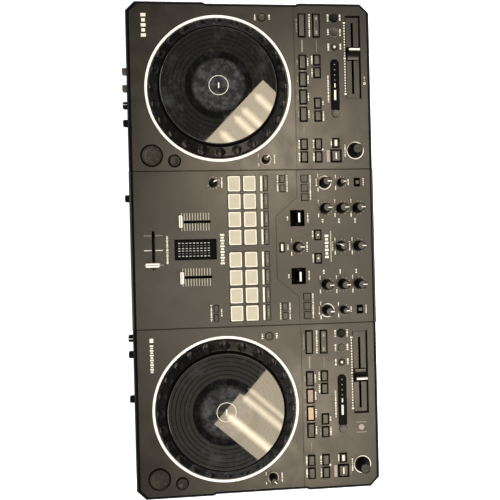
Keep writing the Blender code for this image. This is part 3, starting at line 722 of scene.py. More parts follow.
def make_pads(side):
    """Eight silicone pads: a moulded border, painted lighter as a highlight, round a very slightly sunk face.
    """
    node = side + "_pad_mat"
    x, y, width, depth, low, top = measure(node)
    bm = bmesh.new()
    add_part(bm, block(x, y, width, depth, low, low + 1.4))
    for x, y, width, depth, _ in raised_tops(node):
        levels = [(0, low + 0.9, 1), (0, top - 0.7, 1), (0.2, top - 0.2, 1), (0.6, top, 1),
                  (1.5, top, 1), (1.8, top - 0.18, 0)]
        add_part(bm, loft(x, y, width, depth, levels, 1.6))
    add_piece(side + "_pads", bm, ["pad", "pad_rim_highlight"], node, (0, 0, 0), [node])


def make_round_button(node, ring):
    """A big round button: dished dusty top with a lit ring's groove and a moulded edge."""
    x, y, width, _, low, top = measure(node)
    radius = width / 2 - 2
    flange = PLATE_TOP - 4.8
    rows = [(0, top - 0.5), (radius * 0.55, top - 0.42), (radius - 2.2, top - 0.1),
            (radius - 1.9, top - 0.35), (radius - 1.5, top - 0.35), (radius - 1.2, top),
            (radius - 0.5, top), (radius, top - 0.5), (radius, flange), (radius + 2, flange),
            (radius + 2, low), (0, low)]
    add_piece(node + "_cap", lathe(plain_rows(rows), steps=72), ["button"], node,
              (x, y, 0), [node])
    # The black ring round the button is painted shade and inlay in its gap, like the keys' bezels.
    ink = bmesh.new()
    ring_mark(ink, x, y, radius + 0.3, radius + ring, 0, steps=72)
    ink_piece(node + "_bezel", ink, ["black"])


# Sliders, levers and switches

def make_tempo_cap(side):
    """A slider cap with sloping ends, and a white line on its ridge, which stands towards the outer end."""
    node = side + "_tempo_cap"
    x, y, width, depth, low, top = measure(node)
    half, wide, foot = width / 2, depth / 2, PLATE_TOP + CAP_GAP
    out = SIDES[side]
    middle, ridge, rise, base = 1.9, 2.6, 3.0, foot + 1.4
    steps = 5
    shares = [i / steps for i in range(1, steps + 1)]
    outer = [(half + (middle + ridge - half) * share, base + rise * share ** 1.6) for share in shares]
    inner = [(-half + (middle - ridge + half) * share, base + rise * share ** 1.6) for share in shares]
    crest = top - 0.25
    profile = [(-half, foot), (half, foot), (half, base)] + outer
    profile += [(middle + ridge, crest - 0.5), (middle + ridge - 0.5, crest),
                (middle - ridge + 0.5, crest), (middle - ridge, crest - 0.5)]
    profile += inner[::-1] + [(-half, base)]
    bm = bmesh.new()
    face = bm.faces.new([bm.verts.new((out * px, -wide, pz)) for px, pz in profile])
    made = bmesh.ops.extrude_face_region(bm, geom=[face], use_keep_orig=True)
    moved = [item for item in made["geom"] if isinstance(item, bmesh.types.BMVert)]
    bmesh.ops.translate(bm, verts=moved, vec=(0, 2 * wide, 0))
    bmesh.ops.recalc_face_normals(bm, faces=bm.faces)
    # The white line, the grey one beside it, and the two steps at the inner end: place, width, low, top
    for at, size, start, end, edge, finish in ((middle + 0.9, 2.4, top - 1, top, 0, 1),
                                                (middle - 1.1, 1.4, top - 1, top - 0.05, 0, 3),
                                                (1.6 - half, 2.6, foot, base + 0.5, 0.3, 3),
                                                (3.7 - half, 1.4, foot, base + 0.9, 0.3, 2)):
        add_part(bm, block(out * at, 0, size, depth - 2, start, end, 0, edge, finish))
    add_part(bm, block(0, 0, 6, 1.8, low, foot + 0.5))
    add_piece(node + "_grip", bm, ["rubber", "white", "key", "grey"], node, (x, y, 0), [node])


def make_fader_cap(node, along_x=False):
    """A tall white cap: a stepped foot painted grey as the shade under the cap, a waisted grip and a black
    index line across the top.
    """
    x, y, width, depth, low, top = measure(node)
    foot = PLATE_TOP + CAP_GAP
    if along_x:
        width, depth = depth, width
    # The foot's grey finish is painted shade under the cap.
    bm = block(0, 0, width, depth, foot, foot + 2.4, 0.6, 0.4, 3)
    levels = [(foot + 2.2, 1.2), (foot + 6.0, 1.9), (foot + 11.0, 1.7), (top - 0.6, 1.0), (top, 1.4)]
    rings = []
    grip = bmesh.new()
    for height, inset in levels:
        half_w, half_d = width / 2 - 0.6, depth / 2 - inset
        rings.append([grip.verts.new((sx * half_w, sy * half_d, height))
                      for sx, sy in ((-1, -1), (1, -1), (1, 1), (-1, 1))])
    for lower, upper in zip(rings, rings[1:]):
        for i in range(4):
            grip.faces.new([lower[i], lower[(i + 1) % 4], upper[(i + 1) % 4], upper[i]])
    grip.faces.new(rings[0][::-1])
    grip.faces.new(rings[-1])
    upright = [edge for edge in grip.edges if abs(edge.verts[0].co.z - edge.verts[1].co.z) > 0.3]
    bmesh.ops.bevel(grip, geom=upright, offset=0.4, segments=2, affect="EDGES")
    bmesh.ops.recalc_face_normals(grip, faces=grip.faces)
    add_part(bm, grip)
    add_part(bm, block(0, 0, width - 2.6, 0.8, top - 0.5, top, 0, 0, 1))
    add_part(bm, block(0, 0, 5.0, 1.8, low, foot + 0.5, 0, 0, 2))
    if along_x:
        bm.transform(Matrix.Rotation(math.pi / 2, 4, "Z"))
    add_piece(node + "_grip", bm, ["white", "ink_dim", "metal", "grey"], node, (x, y, 0),
              [node])


LEVER_PIN_R, LEVER_PIN_L = 2.4, 20


def make_lever(side):
    """A paddle that widens to its tip, with a white line across the tip, on its cross pin."""
    node = side + "_fx_lever"
    x, y, _, _, low, top = measure(node)
    pivot = low + LEVER_PIN_R
    bm = block(0, 0, 15.0, 3.2, pivot - 1.0, top - 4.2, 0.8, 0.0)
    add_part(bm, block(0, 0, 15.0, 4.4, top - 4.6, top - 0.3, 0.9, 0.5))
    add_part(bm, block(0, 0, 13.2, 2.6, top - 0.8, top, 0.4, 0.0, 1))
    end, bevel_r = LEVER_PIN_L / 2, LEVER_PIN_R - 0.3
    pin = lathe(plain_rows([(0, end), (bevel_r, end), (LEVER_PIN_R, end - 0.4), (LEVER_PIN_R, 0.4 - end),
                            (bevel_r, -end), (0, -end)], 2), steps=24)
    pin.transform(Matrix.Translation((0, 0, pivot)) @ Matrix.Rotation(math.pi / 2, 4, "Y"))
    add_part(bm, pin)
    add_piece(node + "_paddle", bm, ["rubber", "white", "foot"], node, (x, y, 0), [node])


def make_switch(side):
    node = side + "_input_switch"
    x, y, width, depth, low, top = measure(node)
    bm = block(0, 0, width, depth, low, top - 0.4, 0.4, 0.2)
    for offset in (-1.5, -0.5, 0.5, 1.5):
        add_part(bm, block(offset, 0, 0.5, depth - 0.8, top - 0.6, top, 0, 0.1))
    add_piece(node + "_knob", bm, ["grey"], node, (x, y, 0), [node])


# Marks, inlays and painted shade

BANDS = ("high", "mid", "low")
MIDDLE_KNOBS = {"master_knob": 0.0, "booth_knob": 153.0, "effect_depth_knob": 0.0}      # and their turn

WHITE, DIM, PINK, BLACK, GLOSS, PALE = range(6)
INKS = ["ink", "ink_dim", "ink_pink", "black", "window", "ink_pale"]
BEZEL = PLATE_TOP + 0.04           # inlays and painted shade lie under the ink, and the window's marks over it
UPPER = PLATE_TOP + 0.16
KEY_INK_RISE = 0.03
PLATE_JOINT_Y = 64.2
LINE_W = 0.55                      # of the black lines between areas

# Marks on each deck, from its middle. A word is x, y, length, height and ink, and a bar the same.
DECK_WORDS = (
    [(90.7, 136.2, 18.0, 2.2, WHITE)]
    + [(x, y, 10.0, 2.6, WHITE) for x in ROUND_KEYS_X for y in (132.7, 114.8)]
    + [(0.5, 113.3, 39.0, 2.2, WHITE), (-91.5, 87.3, 33.0, 2.3, WHITE), (-91.6, 68.3, 20.0, 1.6, DIM)]
    + [(x, 83.8, 11.5, 2.0, WHITE) for x in HOT_KEYS_X]
    + [(x, 68.3, 8.0, 1.4, DIM) for x in HOT_KEYS_X]
    + [(-41.4, 89.8, 12.0, 2.2, WHITE), (-23.1, 89.8, 12.0, 2.2, WHITE), (40.1, 89.8, 9.0, 1.6, DIM)]
    + [(21.4, 105.0, 6.0, 2.6, WHITE), (40.1, 105.2, 13.0, 2.2, WHITE)]
    + [(x, y, 12.0, 2.4, WHITE) for x in (81.1, 99.6) for y in (89.6, 68.4)]
    + [(79.6, 115.8, 10.0, 1.9, WHITE), (98.4, 133.4, 13.0, 1.0, DIM)]
    + [(96.8, 8.6, 4.5, 1.6, WHITE), (110.6, 8.6, 4.5, 1.6, WHITE), (102.5, 31.8, 13.0, 2.0, WHITE)]
    + [(EDGE_KEY_X, y, 8.0, 2.6, WHITE) for y in (8.0, 28.8)]
)
DECK_BARS = (
    [(-62.0, LONG_KEY_Y, 18.0, 0.6, DIM), (-62.0, HOT_KEYS_Y, 18.0, 2.0, DIM)]
    + [(x, HOT_KEYS_Y, 1.2, 3.6, DIM) for x in (-25.6, -0.4, 24.8)]
    + [(61.0, HOT_KEYS_Y, 13.0, 0.6, DIM), (98.4, 110.9, 17.0, 4.4, PINK)]
)
TEMPO_SCALE_Y, TEMPO_SCALE, TEMPO_STEPS = 138.8, (-96.0, 8.0), 26
RECESS_X, RECESS_Y, RECESS_W, RECESS_D = -45.5, 151.6, 120.3, 20.2     # round the tempo slider
WINDOW_X, WINDOW_Y, WINDOW_D = (-42.9, 31.5), 123.3, 13.2              # the scratch-length window
WINDOW_DOTS_X, WINDOW_KEY_X = (-35.0, -27.5, -20.0, -12.5), 36.6


def bezels(ink, node, gap, deck_x=0.0):
    """The black line of shadow and inlay round each key of a carrier. The window's key has none."""
    for x, y, width, depth, is_round in raised_tops(node):
        local = x - deck_x
        faint = deck_x == 0 and mixer_style(x, y) in (FAINT, FLUSH)
        if not is_round:
            border = 0.2 if faint else 0.3
            frame_mark(ink, local, y, width + 2 * gap, depth + 2 * gap, border, BLACK, BEZEL)
        elif not near((local, y), WINDOW_KEY_X, WINDOW_Y):
            ring_mark(ink, local, y, width / 2 + gap, width / 2 + gap + 0.5, BLACK, z=BEZEL, steps=36)


KNOB_DOTS = 11


def tick_dots(ink, x, y, radius, size, material=WHITE):
    """Dots round a knob from its lowest setting to its highest."""
    for i in range(KNOB_DOTS):
        angle = math.radians(-60 + 300 * i / (KNOB_DOTS - 1))
        disc_mark(ink, x + radius * math.cos(angle), y + radius * math.sin(angle), size, material, steps=8)


def range_marks(ink, x, y, reach):
    """The two small marks in front of a knob, at its lowest and highest settings."""
    for sign in (-1, 1):
        rect(ink, x + sign * reach, y - reach + 0.4, 5.6, 1.4, WHITE)


def solid_word(ink, x, y, length, height, count):
    """A row of plain blocks, tall and short in turn, where the maker prints a name."""
    pitch = length / count
    for i in range(count):
        size = height * (0.74 if i % 2 else 1.0)
        rect(ink, x - length / 2 + pitch * (i + 0.5), y, pitch * 0.66, size, WHITE)


def tempo_scale(ink):
    """Lines beside the tempo slider, longer at the middle and the ends."""
    start, end = TEMPO_SCALE
    for i in range(TEMPO_STEPS + 1):
        at = start + (end - start) * i / TEMPO_STEPS
        major = i in (0, TEMPO_STEPS // 2, TEMPO_STEPS)
        rect(ink, at, TEMPO_SCALE_Y, 2.2, 3.2 if major else 1.6, WHITE)


def scratch_window(ink):
    """The scratch-length window, with its rounded end, setting dots and lit bars."""
    left, right = WINDOW_X
    radius = WINDOW_D / 2
    rect(ink, (left + radius + right) / 2, WINDOW_Y, right - left - radius, WINDOW_D, GLOSS, BEZEL)
    ring_mark(ink, left + radius, WINDOW_Y, 0.01, radius, GLOSS, 90, 180, z=BEZEL)
    for x in WINDOW_DOTS_X:
        disc_mark(ink, x, WINDOW_Y, 0.9, DIM, UPPER)
    rect(ink, -4.5, WINDOW_Y, 6.0, 1.8, WHITE, UPPER)
    rect(ink, 9.5, WINDOW_Y, 14.5, 3.0, WHITE, UPPER)


def recess_lines(ink, out):
    """Black lines of painted shade on the plate round the tempo slider's recess, and the shade of its walls
    painted on its floor.

    out is the side of the deck whose wall is in the deeper shade.
    """
    floor = PLATE_TOP - 0.75
    wall, edge = RECESS_W / 2 - 0.85, RECESS_W / 2 + 0.55
    rect(ink, RECESS_X, RECESS_Y + 9.3, RECESS_W, 1.8, BLACK, floor)
    rect(ink, RECESS_X, RECESS_Y + 10.6, RECESS_W + 2, 0.9, BLACK, BEZEL)
    rect(ink, RECESS_X + out * edge, RECESS_Y, 0.9, RECESS_D + 1, BLACK, BEZEL)
    rect(ink, RECESS_X, RECESS_Y - 11.0, RECESS_W, 0.9, BLACK, BEZEL)
    rect(ink, RECESS_X + out * wall, RECESS_Y, 1.8, RECESS_D, BLACK, floor)
    rect(ink, RECESS_X - out * wall, RECESS_Y, 0.6, RECESS_D, BLACK, floor)


def left_marks(ink):
    """The marks that only the left deck has: its name row, and rings and a dash behind the slider."""
    ring_mark(ink, -16.0, 167.4, 0.7, 1.4, PALE)
    ring_mark(ink, -7.5, 167.4, 1.0, 1.9, WHITE)
    rect(ink, -12.2, 167.4, 2.4, 0.7, PALE)
    solid_word(ink, -90.0, -151.2, 36.0, 7.0, 5)


def right_marks(ink):
    """The marks that only the right deck has: its name row, and a disc between lines by the slider."""
    disc_mark(ink, 36.0, 151.0, 4.2, PINK)
    for x in (28.6, 43.4):
        rect(ink, x, 151.0, 1.0, 15.0, DIM)
    rect(ink, -102.3, -150.6, 5.8, 5.2, WHITE)
    solid_word(ink, -76.2, -150.6, 40.5, 5.0, 12)


def deck_marks(side):
    """The print, inlay and painted shade of a deck's plate."""
    deck_x = DECKS[side]
    ink = bmesh.new()
    for x, y, length, height, colour in DECK_WORDS:
        word(ink, x, y, length, height, colour)
    bezels(ink, side + "_deck_keys", 0.6, deck_x)
    tempo_scale(ink)
    for knob, inner, outer, colour, steps in (("_browse_encoder", 11.6, 12.8, WHITE, 64),
                                              ("_deck_knob", 7.4, 8.1, PALE, 48)):
        x, y = node_middle(side + knob)
        ring_mark(ink, x - deck_x, y, inner, outer, colour, steps=steps)
    ring_mark(ink, ROUND_KEYS_X[2], ROUND_KEYS_Y, 3.9, 5.1, BLACK)
    ring_mark(ink, ROUND_KEYS_X[1], ROUND_KEYS_Y, 6.2, 6.6, DIM)
    scratch_window(ink)
    for x, y, width, depth, colour in DECK_BARS:
        rect(ink, x, y, width, depth, colour)
    disc_mark(ink, 88.9, 103.0, 1.4, WHITE)
    x, _, width, *_ = measure(side + "_deck_panel")
    rect(ink, x - deck_x, PLATE_JOINT_Y, width - 5.6, LINE_W, BLACK, BEZEL)
    if side == "right":
        right_marks(ink)
    else:
        left_marks(ink)
    recess_lines(ink, SIDES[side])
    ink_piece(side + "_deck_print", ink, INKS, (deck_x, 0, 0))


def deck_key_marks(side):
    """The marks on top of a deck's keys, which travel with them."""
    white, black, dim = range(3)
    top = node_box(side + "_deck_keys")[1].z + KEY_INK_RISE
    ink = bmesh.new()
    disc_mark(ink, ROUND_KEYS_X[2], ROUND_KEYS_Y, 1.6, white, top)
    rect(ink, 79.6, REAR_KEY_Y, 8.4, 3.3, white, top)
    rect(ink, 98.4, REAR_KEY_Y, 9.4, 1.8, white, top)
    frame_mark(ink, 98.4, REAR_KEY_Y, 14.0, 11.2, 0.5, black, top)
    for x in (-101.6, -81.2):
        rect(ink, x, LONG_KEY_Y, 5.0, 3.0, dim, top)
    ink_piece(side + "_key_print", ink, ["ink", "black", "ink_dim"], (DECKS[side], 0, 0),
              side + "_deck_keys")


def outline_border():
    """The black line inside the bevelled outline of the whole top, painted shade along its edge, wider along
    the front.
    """
    side, front, rear = BODY_HALF_W - 3.7, BODY_HALF_D - 4.3, BODY_HALF_D - 3.6
    cut = 11.0
    ink = bmesh.new()
    for sign in (-1, 1):
        points = [(0, -front), (side - cut, -front), (side, cut - front), (side, -67.0), (side - 2, -63.0),
                  (side - 2, 68.0), (side, 72.0), (side, rear - cut), (side - cut, rear), (0, rear)]
        widths = [3.4] * 2 + [2.2] * 7
        for first, last, width in zip(points, points[1:], widths):
            stroke(ink, (sign * first[0], first[1]), (sign * last[0], last[1]), width, 0, BEZEL)
    ink_piece("outline_border", ink, ["black"])


WELL_LOW, WELL_W, WELL_D = 43.0, 24.0, 21.4


def lever_wells():
    """Black boxes that the effect levers stand in, painted black as the shade in their wells."""
    bm = bmesh.new()
    high = PLATE_TOP - 4.2
    for side in SIDES:
        x, y = node_middle(side + "_fx_lever")
        add_part(bm, block(x, y, WELL_W, WELL_D, WELL_LOW, WELL_LOW + 0.6))
        for sign in (-1, 1):
            add_part(bm, block(x + sign * 11.6, y, 0.7, WELL_D, WELL_LOW, high))
            add_part(bm, block(x, y + sign * 10.3, WELL_W, 0.7, WELL_LOW, high))
    add_piece("lever_wells", bm, ["black"], "chassis")


# Words on the mixer: x, y, length, height and ink. Those of the sides are given for the right one.
MIXER_SIDE_WORDS = (
    [(37.0, node_middle(f"right_{band}_knob")[1] - 4.0, 6.0, 2.8, WHITE) for band in BANDS]
    + [(93.2, 139.6, 9.0, 2.0, WHITE), (93.2, 92.2, 12.0, 2.0, WHITE), (86.0, 83.2, 36.0, 2.0, WHITE)]
    + [(93.2, 162.0, 12.0, 1.6, WHITE), (42.1, 78.4, 14.0, 2.0, WHITE), (42.1, 48.6, 6.0, 2.0, WHITE)]
    + [(17.0, 85.0, 12.0, 2.0, WHITE), (92.5, 49.1, 24.0, 1.8, WHITE), (92.5, 35.3, 24.0, 1.8, WHITE)]
)
MIXER_WORDS = (
    (0, 139.5, 14.0, 1.8, WHITE), (0, 114.0, 14.0, 1.8, WHITE), (0, 76.4, 14.0, 2.0, WHITE),
    (0, 48.2, 8.0, 1.8, WHITE), (0, -125.1, 40.0, 3.0, WHITE), (-95.0, -45.4, 15.0, 2.4, WHITE),
    (-95.0, -49.2, 12.0, 1.2, DIM), (92.1, -50.0, 12.0, 2.4, WHITE), (92.1, -64.7, 24.0, 2.4, WHITE),
)
CORNER_X, CORNER_Y = (72.0, 45.0), (62.8, 31.6)
CHANNEL_SCALE_X, CHANNEL_SCALE_Y, CHANNEL_SCALE_PITCH = (32.2, 47.0), -65.2, 3.87
CROSSFADER_Y, LIT_KEY_Y = -144.5, 39.7


def mark_knob(ink, node, radius, size, reach):
    """Dots of one size on a circle round a knob, and a mark at each end of its turn."""
    x, y = node_middle(node)
    tick_dots(ink, x, y, radius, size, PALE)
    range_marks(ink, x, y, reach)


def knob_marks(ink):
    """Setting dots and end marks round the mixer's knobs."""
    for side in SIDES:
        for band in BANDS:
            mark_knob(ink, f"{side}_{band}_knob", 10.2, 0.5, 10.0)
        mark_knob(ink, side + "_trim_knob", 8.4, 0.45, 8.2)
        x, y = node_middle(side + "_filter_knob")
        range_marks(ink, x, y, 10.0)
        ring_mark(ink, x, y, 9.0, 10.2, WHITE, -55, 290)
    for node in MIDDLE_KNOBS:
        mark_knob(ink, node, 10.2, 0.5, 9.6)
    x, y = node_middle("sampler_knob")
    tick_dots(ink, x, y, 8.6, 0.5)


def fader_marks(ink):
    """Scales beside the faders, and the black edges of their slots."""
    for sign in (-1, 1):
        for i in range(11):
            for x in CHANNEL_SCALE_X:
                rect(ink, sign * x, CHANNEL_SCALE_Y - CHANNEL_SCALE_PITCH * i, 10.6, 0.9, PALE)
        frame_mark(ink, sign * 39.6, -85.6, 3.4, 46.0, 0.3, BLACK, BEZEL)
    for x in (-21.0, 0.0, 21.0):
        for y in (CROSSFADER_Y - 8.0, CROSSFADER_Y + 8.0):
            rect(ink, x, y, 1.0, 10.4, DIM if x else WHITE)
    frame_mark(ink, 0, CROSSFADER_Y, 54.0, 3.4, 0.4, BLACK, BEZEL)


def mixer_lines(ink):
    """The black lines between the mixer's areas, and the frames of its switches, levers and lit key."""
    for side, sign in SIDES.items():
        frame_mark(ink, *node_middle(side + "_input_switch"), 11.0, 7.6, 1.0, BLACK, BEZEL)
        frame_mark(ink, *node_middle(side + "_fx_lever"), 22.4, 19.8, 0.7, BLACK, BEZEL)
        rect(ink, sign * (SEAM_X - 0.9), 0, 0.7, 2 * BODY_HALF_D - 8, BLACK, BEZEL)
        points = [(SEAM_X - 0.5, 63.3), (CORNER_X[0], CORNER_Y[0]), (CORNER_X[1], CORNER_Y[1])]
        for (x0, y0), (x1, y1) in zip(points, points[1:]):
            stroke(ink, (sign * x0, y0), (sign * x1, y1), LINE_W, BLACK, BEZEL)
        for x in MODE_KEYS_X:
            rect(ink, sign * x, MODE_KEYS_Y - 6.2, 21.5, 2.6, WHITE)
    rect(ink, 0, CORNER_Y[1], 2 * CORNER_X[1], LINE_W, BLACK, BEZEL)
    frame_mark(ink, 0, LIT_KEY_Y, 12.3, 5.2, 1.3, BLACK, BEZEL)


def mixer_marks():
    """The print, inlay and painted shade of the mixer's plate."""
    ink = bmesh.new()
    bezels(ink, "mixer_keys", 0.4)
    for side, sign in SIDES.items():
        for x, y, width, depth, _ in raised_tops(side + "_pad_mat"):
            frame_mark(ink, x, y, width + 0.8, depth + 0.8, 0.5, BLACK, BEZEL)
        for x, y, length, height, colour in MIXER_SIDE_WORDS:
            word(ink, sign * x, y, length, height, colour)
    for x, y, length, height, colour in MIXER_WORDS:
        word(ink, x, y, length, height, colour)
    knob_marks(ink)
    fader_marks(ink)
    mixer_lines(ink)
    solid_word(ink, 0, 105.4, 36.0, 5.4, 7)
    rect(ink, 0, 111.6, 45.0, 1.2, PALE)
    solid_word(ink, 0.3, -46.6, 45.0, 6.0, 11)
    ink_piece("mixer_print", ink, INKS)


def mixer_key_marks():
    """The marks on top of the mixer's keys, which travel with them."""
    white, dim = range(2)
    top = node_box("mixer_keys")[1].z + KEY_INK_RISE
    ink = bmesh.new()
    for sign in (-1, 1):
        disc_mark(ink, sign * 17.0, 92.6, 1.3, white, top)
        for x in MODE_KEYS_X:
            word(ink, sign * x, MODE_KEYS_Y, 10.0, 1.6, dim, top)
    rect(ink, 0, LIT_KEY_Y, 10.0, 3.2, white, top)
    ink_piece("mixer_key_print", ink, ["ink", "ink_dim"], body="mixer_keys")


METER_ROWS, METER_FIRST, METER_PITCH = 9, -108.1, 5.25
METER_COLUMNS = ((9.3, 1), (5.5, 2), (1.8, 1))         # from the middle, with their finish


def make_meter():
    """The level meter: a smoked window in a black frame, with rows of unlit segments behind it."""
    x, y, width, depth, low, top = measure("meter_window")
    bm = block(x, y, width, depth, low, top - 0.05, 0.8, 0.15)
    for row in range(METER_ROWS):
        at = METER_FIRST + row * METER_PITCH
        for column, finish in METER_COLUMNS:
            for sign in (-1, 1):
                add_part(bm, block(x + sign * column, at, 1.3, 3.0, top - 0.3, top, 0, 0, finish))
    add_piece("meter_glass", bm, ["window", "segment", "segment_dim"], "chassis", (0, 0, 0),
              ["meter_window"])


# Case details

PHONO_X, PHONO_Z = (-195.0, -168.0, -120.0, -93.0), (22.0, 36.0)
USB_X, POWER_X, BALANCED_X, JACK_X = (-30.0, 2.0), 46.0, (120.0, 152.0), (190.0, 212.0)
HEADPHONES = ((-138.0, 5.6), (-116.0, 3.8))            # place and radius
JACK_Z = 29.0
FRONT_KNOBS = [node for node in frame["nodes"] if node_box(node)[0].y < -BODY_HALF_D - 1]


def socket(x, z, rows, wall, outward, name, finishes):
    """A turned connector set in a wall. outward is 1 for the rear wall and -1 for the front wall."""
    bm = lathe(rows, steps=36)
    bm.transform(Matrix.Rotation(-outward * math.pi / 2, 4, "X"))
    add_piece(name, bm, finishes, "chassis", (x, wall, z))


def sleeve_rows(hole, mouth, shoulder, outer, floor=0.2, edge=0.4):
    """A turned sleeve: a dark hole, its mouth, a flat shoulder and the outer wall."""
    return [(0, floor, 0, 1), (hole, floor, 0, 1), (mouth, 0.9, 0, 0), (shoulder, 0.9, 0, 0),
            (outer, edge, 0, 0), (outer, -0.4, 0, 0)]


def label_dashes(bm, x, wall, low, material=0):
    """Three dashes over a connector or a front knob."""
    for step in (-3, 0, 3):
        add_part(bm, block(x + step, wall, 2.0, 0.2, low, low + 1.0, material=material))


def make_rear_sockets():
    """The connectors in the rear wall's shallow bay, with a row of dashes over each."""
    floor = BODY_HALF_D - 1.2
    phono = [(0, 0.5, 0, 1), (1.6, 0.5, 0, 1), (1.6, 0.1, 0, 1), (3.4, 0.1, 0, 0), (3.6, 0.9, 0, 0),
             (3.6, -0.4, 0, 0), (5.6, -0.4, 0, 0), (5.6, 0.6, 0, 0), (5.2, 0.9, 0, 0)]
    for pair, x in enumerate(PHONO_X):
        for row, z in enumerate(PHONO_Z):
            colour = "white" if row else "key_peach"
            socket(x, z, phono, floor, 1, f"rear_phono_{pair}_{row}", [colour, "metal"])
    for index, x in enumerate(BALANCED_X):
        rows = sleeve_rows(7.5, 8.2, 9.6, 10.2, edge=0.3)
        socket(x, JACK_Z, rows, floor, 1, f"rear_balanced_{index}", ["metal", "black"])
    for index, x in enumerate(JACK_X):
        rows = sleeve_rows(3.2, 3.6, 6.0, 6.4, edge=0.5)
        socket(x, JACK_Z, rows, floor, 1, f"rear_jack_{index}", ["metal", "black"])
    metal, black, rubber, white = range(4)
    bm = bmesh.new()
    for x in USB_X:
        add_part(bm, block(x, floor, 15.0, 1.9, JACK_Z - 6.5, JACK_Z + 6.5, 0, 0, metal))
        add_part(bm, block(x, floor + 0.5, 8.6, 1.1, JACK_Z - 4.2, JACK_Z + 4.2, 0, 0, black))
    add_part(bm, block(POWER_X, floor, 22.0, 1.6, JACK_Z - 7.0, JACK_Z + 7.0, 0, 0, black))
    add_part(bm, block(POWER_X, floor + 0.3, 10.0, 1.4, JACK_Z - 5.0, JACK_Z + 5.0, 0, 0, rubber))
    for x in PHONO_X + USB_X + (POWER_X,) + BALANCED_X + JACK_X:
        label_dashes(bm, x, floor, 42.0, white)
    add_piece("rear_ports", bm, ["metal", "black", "rubber", "ink"], "chassis")


def make_front_sockets():
    """The headphone sockets, and the dashes over them and over the front knobs."""
    marks = bmesh.new()
    for x in [node_middle(node)[0] for node in FRONT_KNOBS] + [x for x, _ in HEADPHONES]:
        label_dashes(marks, x, -BODY_HALF_D, 42.6)
    add_piece("front_marks", marks, ["ink_dim"], "chassis")
    for index, (x, radius) in enumerate(HEADPHONES):
        rows = sleeve_rows(radius * 0.5, radius * 0.6, radius, radius + 0.5, floor=0.1)
        socket(x, 30.0, rows, -BODY_HALF_D, -1, f"headphone_socket_{index}", ["metal", "black"])


SCREWS_X, SCREWS_Y = (-338.0, -121.0, 121.0, 338.0), (-160.0, 160.0)
VENTS, VENT_X, VENT_Y, VENT_PITCH = 9, 230.0, -20.0, 7.0


def make_underside():
    """Screw heads and vent slots in the case's floor, and the ribbed rubber feet."""
    floor = CASE_MIN.z
    bm = bmesh.new()
    for x in SCREWS_X:
        for y in SCREWS_Y:
            screw = lathe(plain_rows([(0, floor - 0.2), (2.0, floor - 0.2), (3.2, floor - 0.9),
                                      (3.6, floor - 0.5), (3.6, floor + 0.4), (0, floor + 0.4)]), steps=24)
            screw.transform(Matrix.Translation((x, y, 0)))
            add_part(bm, screw)
    for side in (-1, 1):
        for i in range(VENTS):
            y = VENT_Y + VENT_PITCH * i
            add_part(bm, block(side * VENT_X, y, 60.0, 2.6, floor - 0.25, floor + 0.3, 1.2, 0.0, 1))
    add_piece("floor_details", bm, ["metal", "black"], "chassis")
    for node in frame["record"]["behaviour"]["bodies"]["chassis"]:
        if node.startswith("foot_"):
            x, y, width, _, low, top = measure(node)
            radius = width / 2
            rows = [(0, top), (radius, top), (radius, 1.6), (radius - 1.0, low), (radius - 2.6, low),
                    (radius - 3.0, 0.8), (radius - 4.4, 0.8), (radius - 4.8, low), (radius - 7.0, low),
                    (radius - 7.4, 0.8), (4.4, 0.8), (4.0, 1.4), (0, 1.4)]
            add_piece(node + "_rubber", lathe(plain_rows(rows), steps=56), ["foot"], "chassis",
                      (x, y, 0), [node])


def finish_cad_nodes():
    """Give the CAD nodes that stay in view their finishes, and soften the case's edges."""
    finishes = {"bottom_case": "case", "left_deck_panel": "plate", "right_deck_panel": "plate",
                "mixer_panel": "plate", "main_board": "board"}
    for node, finish in finishes.items():
        piece = frame["nodes"][node]
        piece.data.materials.clear()
        piece.data.materials.append(FINISH[finish])
    case = frame["nodes"]["bottom_case"]
    weld = case.modifiers.new("Weld", "WELD")
    weld.merge_threshold = 0.00002
    soft = case.modifiers.new("Soft edges", "BEVEL")
    soft.width = 0.0006
    soft.segments = 2
    soft.limit_method = "ANGLE"
    soft.angle_limit = math.radians(40)


# Floor, light and camera

def make_floor():
    bm = bmesh.new()
    bmesh.ops.create_grid(bm, x_segments=4, y_segments=4, size=6.0)
    mesh = bpy.data.meshes.new("floor")
    bm.to_mesh(mesh)
    bm.free()
    floor = bpy.data.objects.new("floor", mesh)
    bpy.context.scene.collection.objects.link(floor)
    mesh.materials.append(moulded("floor_paper", (0.86, 0.90, 1.0), 0.85, grain_mm=3.0, mottle=0.01,
                                  specular=0.1, glow=1.10))


CAMERA = (0.6, -56.8, 727.5)
CAMERA_TURN = (-0.06, -4.24, 88.6)
MIRROR_Z = PLATE_TOP + 13.6        # the jog plates' glossy tops
LAMP_RISE = 3000.0                 # from the jog plates up to the lamps
CEILING_TINT = (1.0, 0.87, 0.70)
CREAM = (1.0, 0.84, 0.60)

# Each ceiling light is its corner, its direction, its turn, its panes and its tubes: see ceiling_light, tube
CEILING_LIGHTS = {
    "left_light": ((-237.8, 16.1), (0.72, -0.694), 1, [(0, 150, 0, 130, 12.0)],
                   [(at, 13.0, 13.5) for at in (22.5, 50.0, 65.5, 95.0)]),
    "right_light": ((246.2, -64.2), (-0.748, 0.664), -1, [(0, 56, 0, 150, 9.5), (56, 165, 7.4, 150, 9.5)],
                    [(21.5, 13.0, 20.0), (55.4, 12.0, 13.0), (68.4, 9.0, 10.0)]),
}
# Ceiling areas that only the gloss of the plates shows: mirrored place, size and radiance
CEILING_AREAS = {
    "rear_left_ceiling": ((-190.0, 140.0), (170.0, 130.0), 3.9),
    "rear_right_ceiling": ((130.0, 140.0), (350.0, 130.0), 4.0),
    "centre_ceiling": ((60.0, -98.0), (150.0, 165.0), 4.0),
}
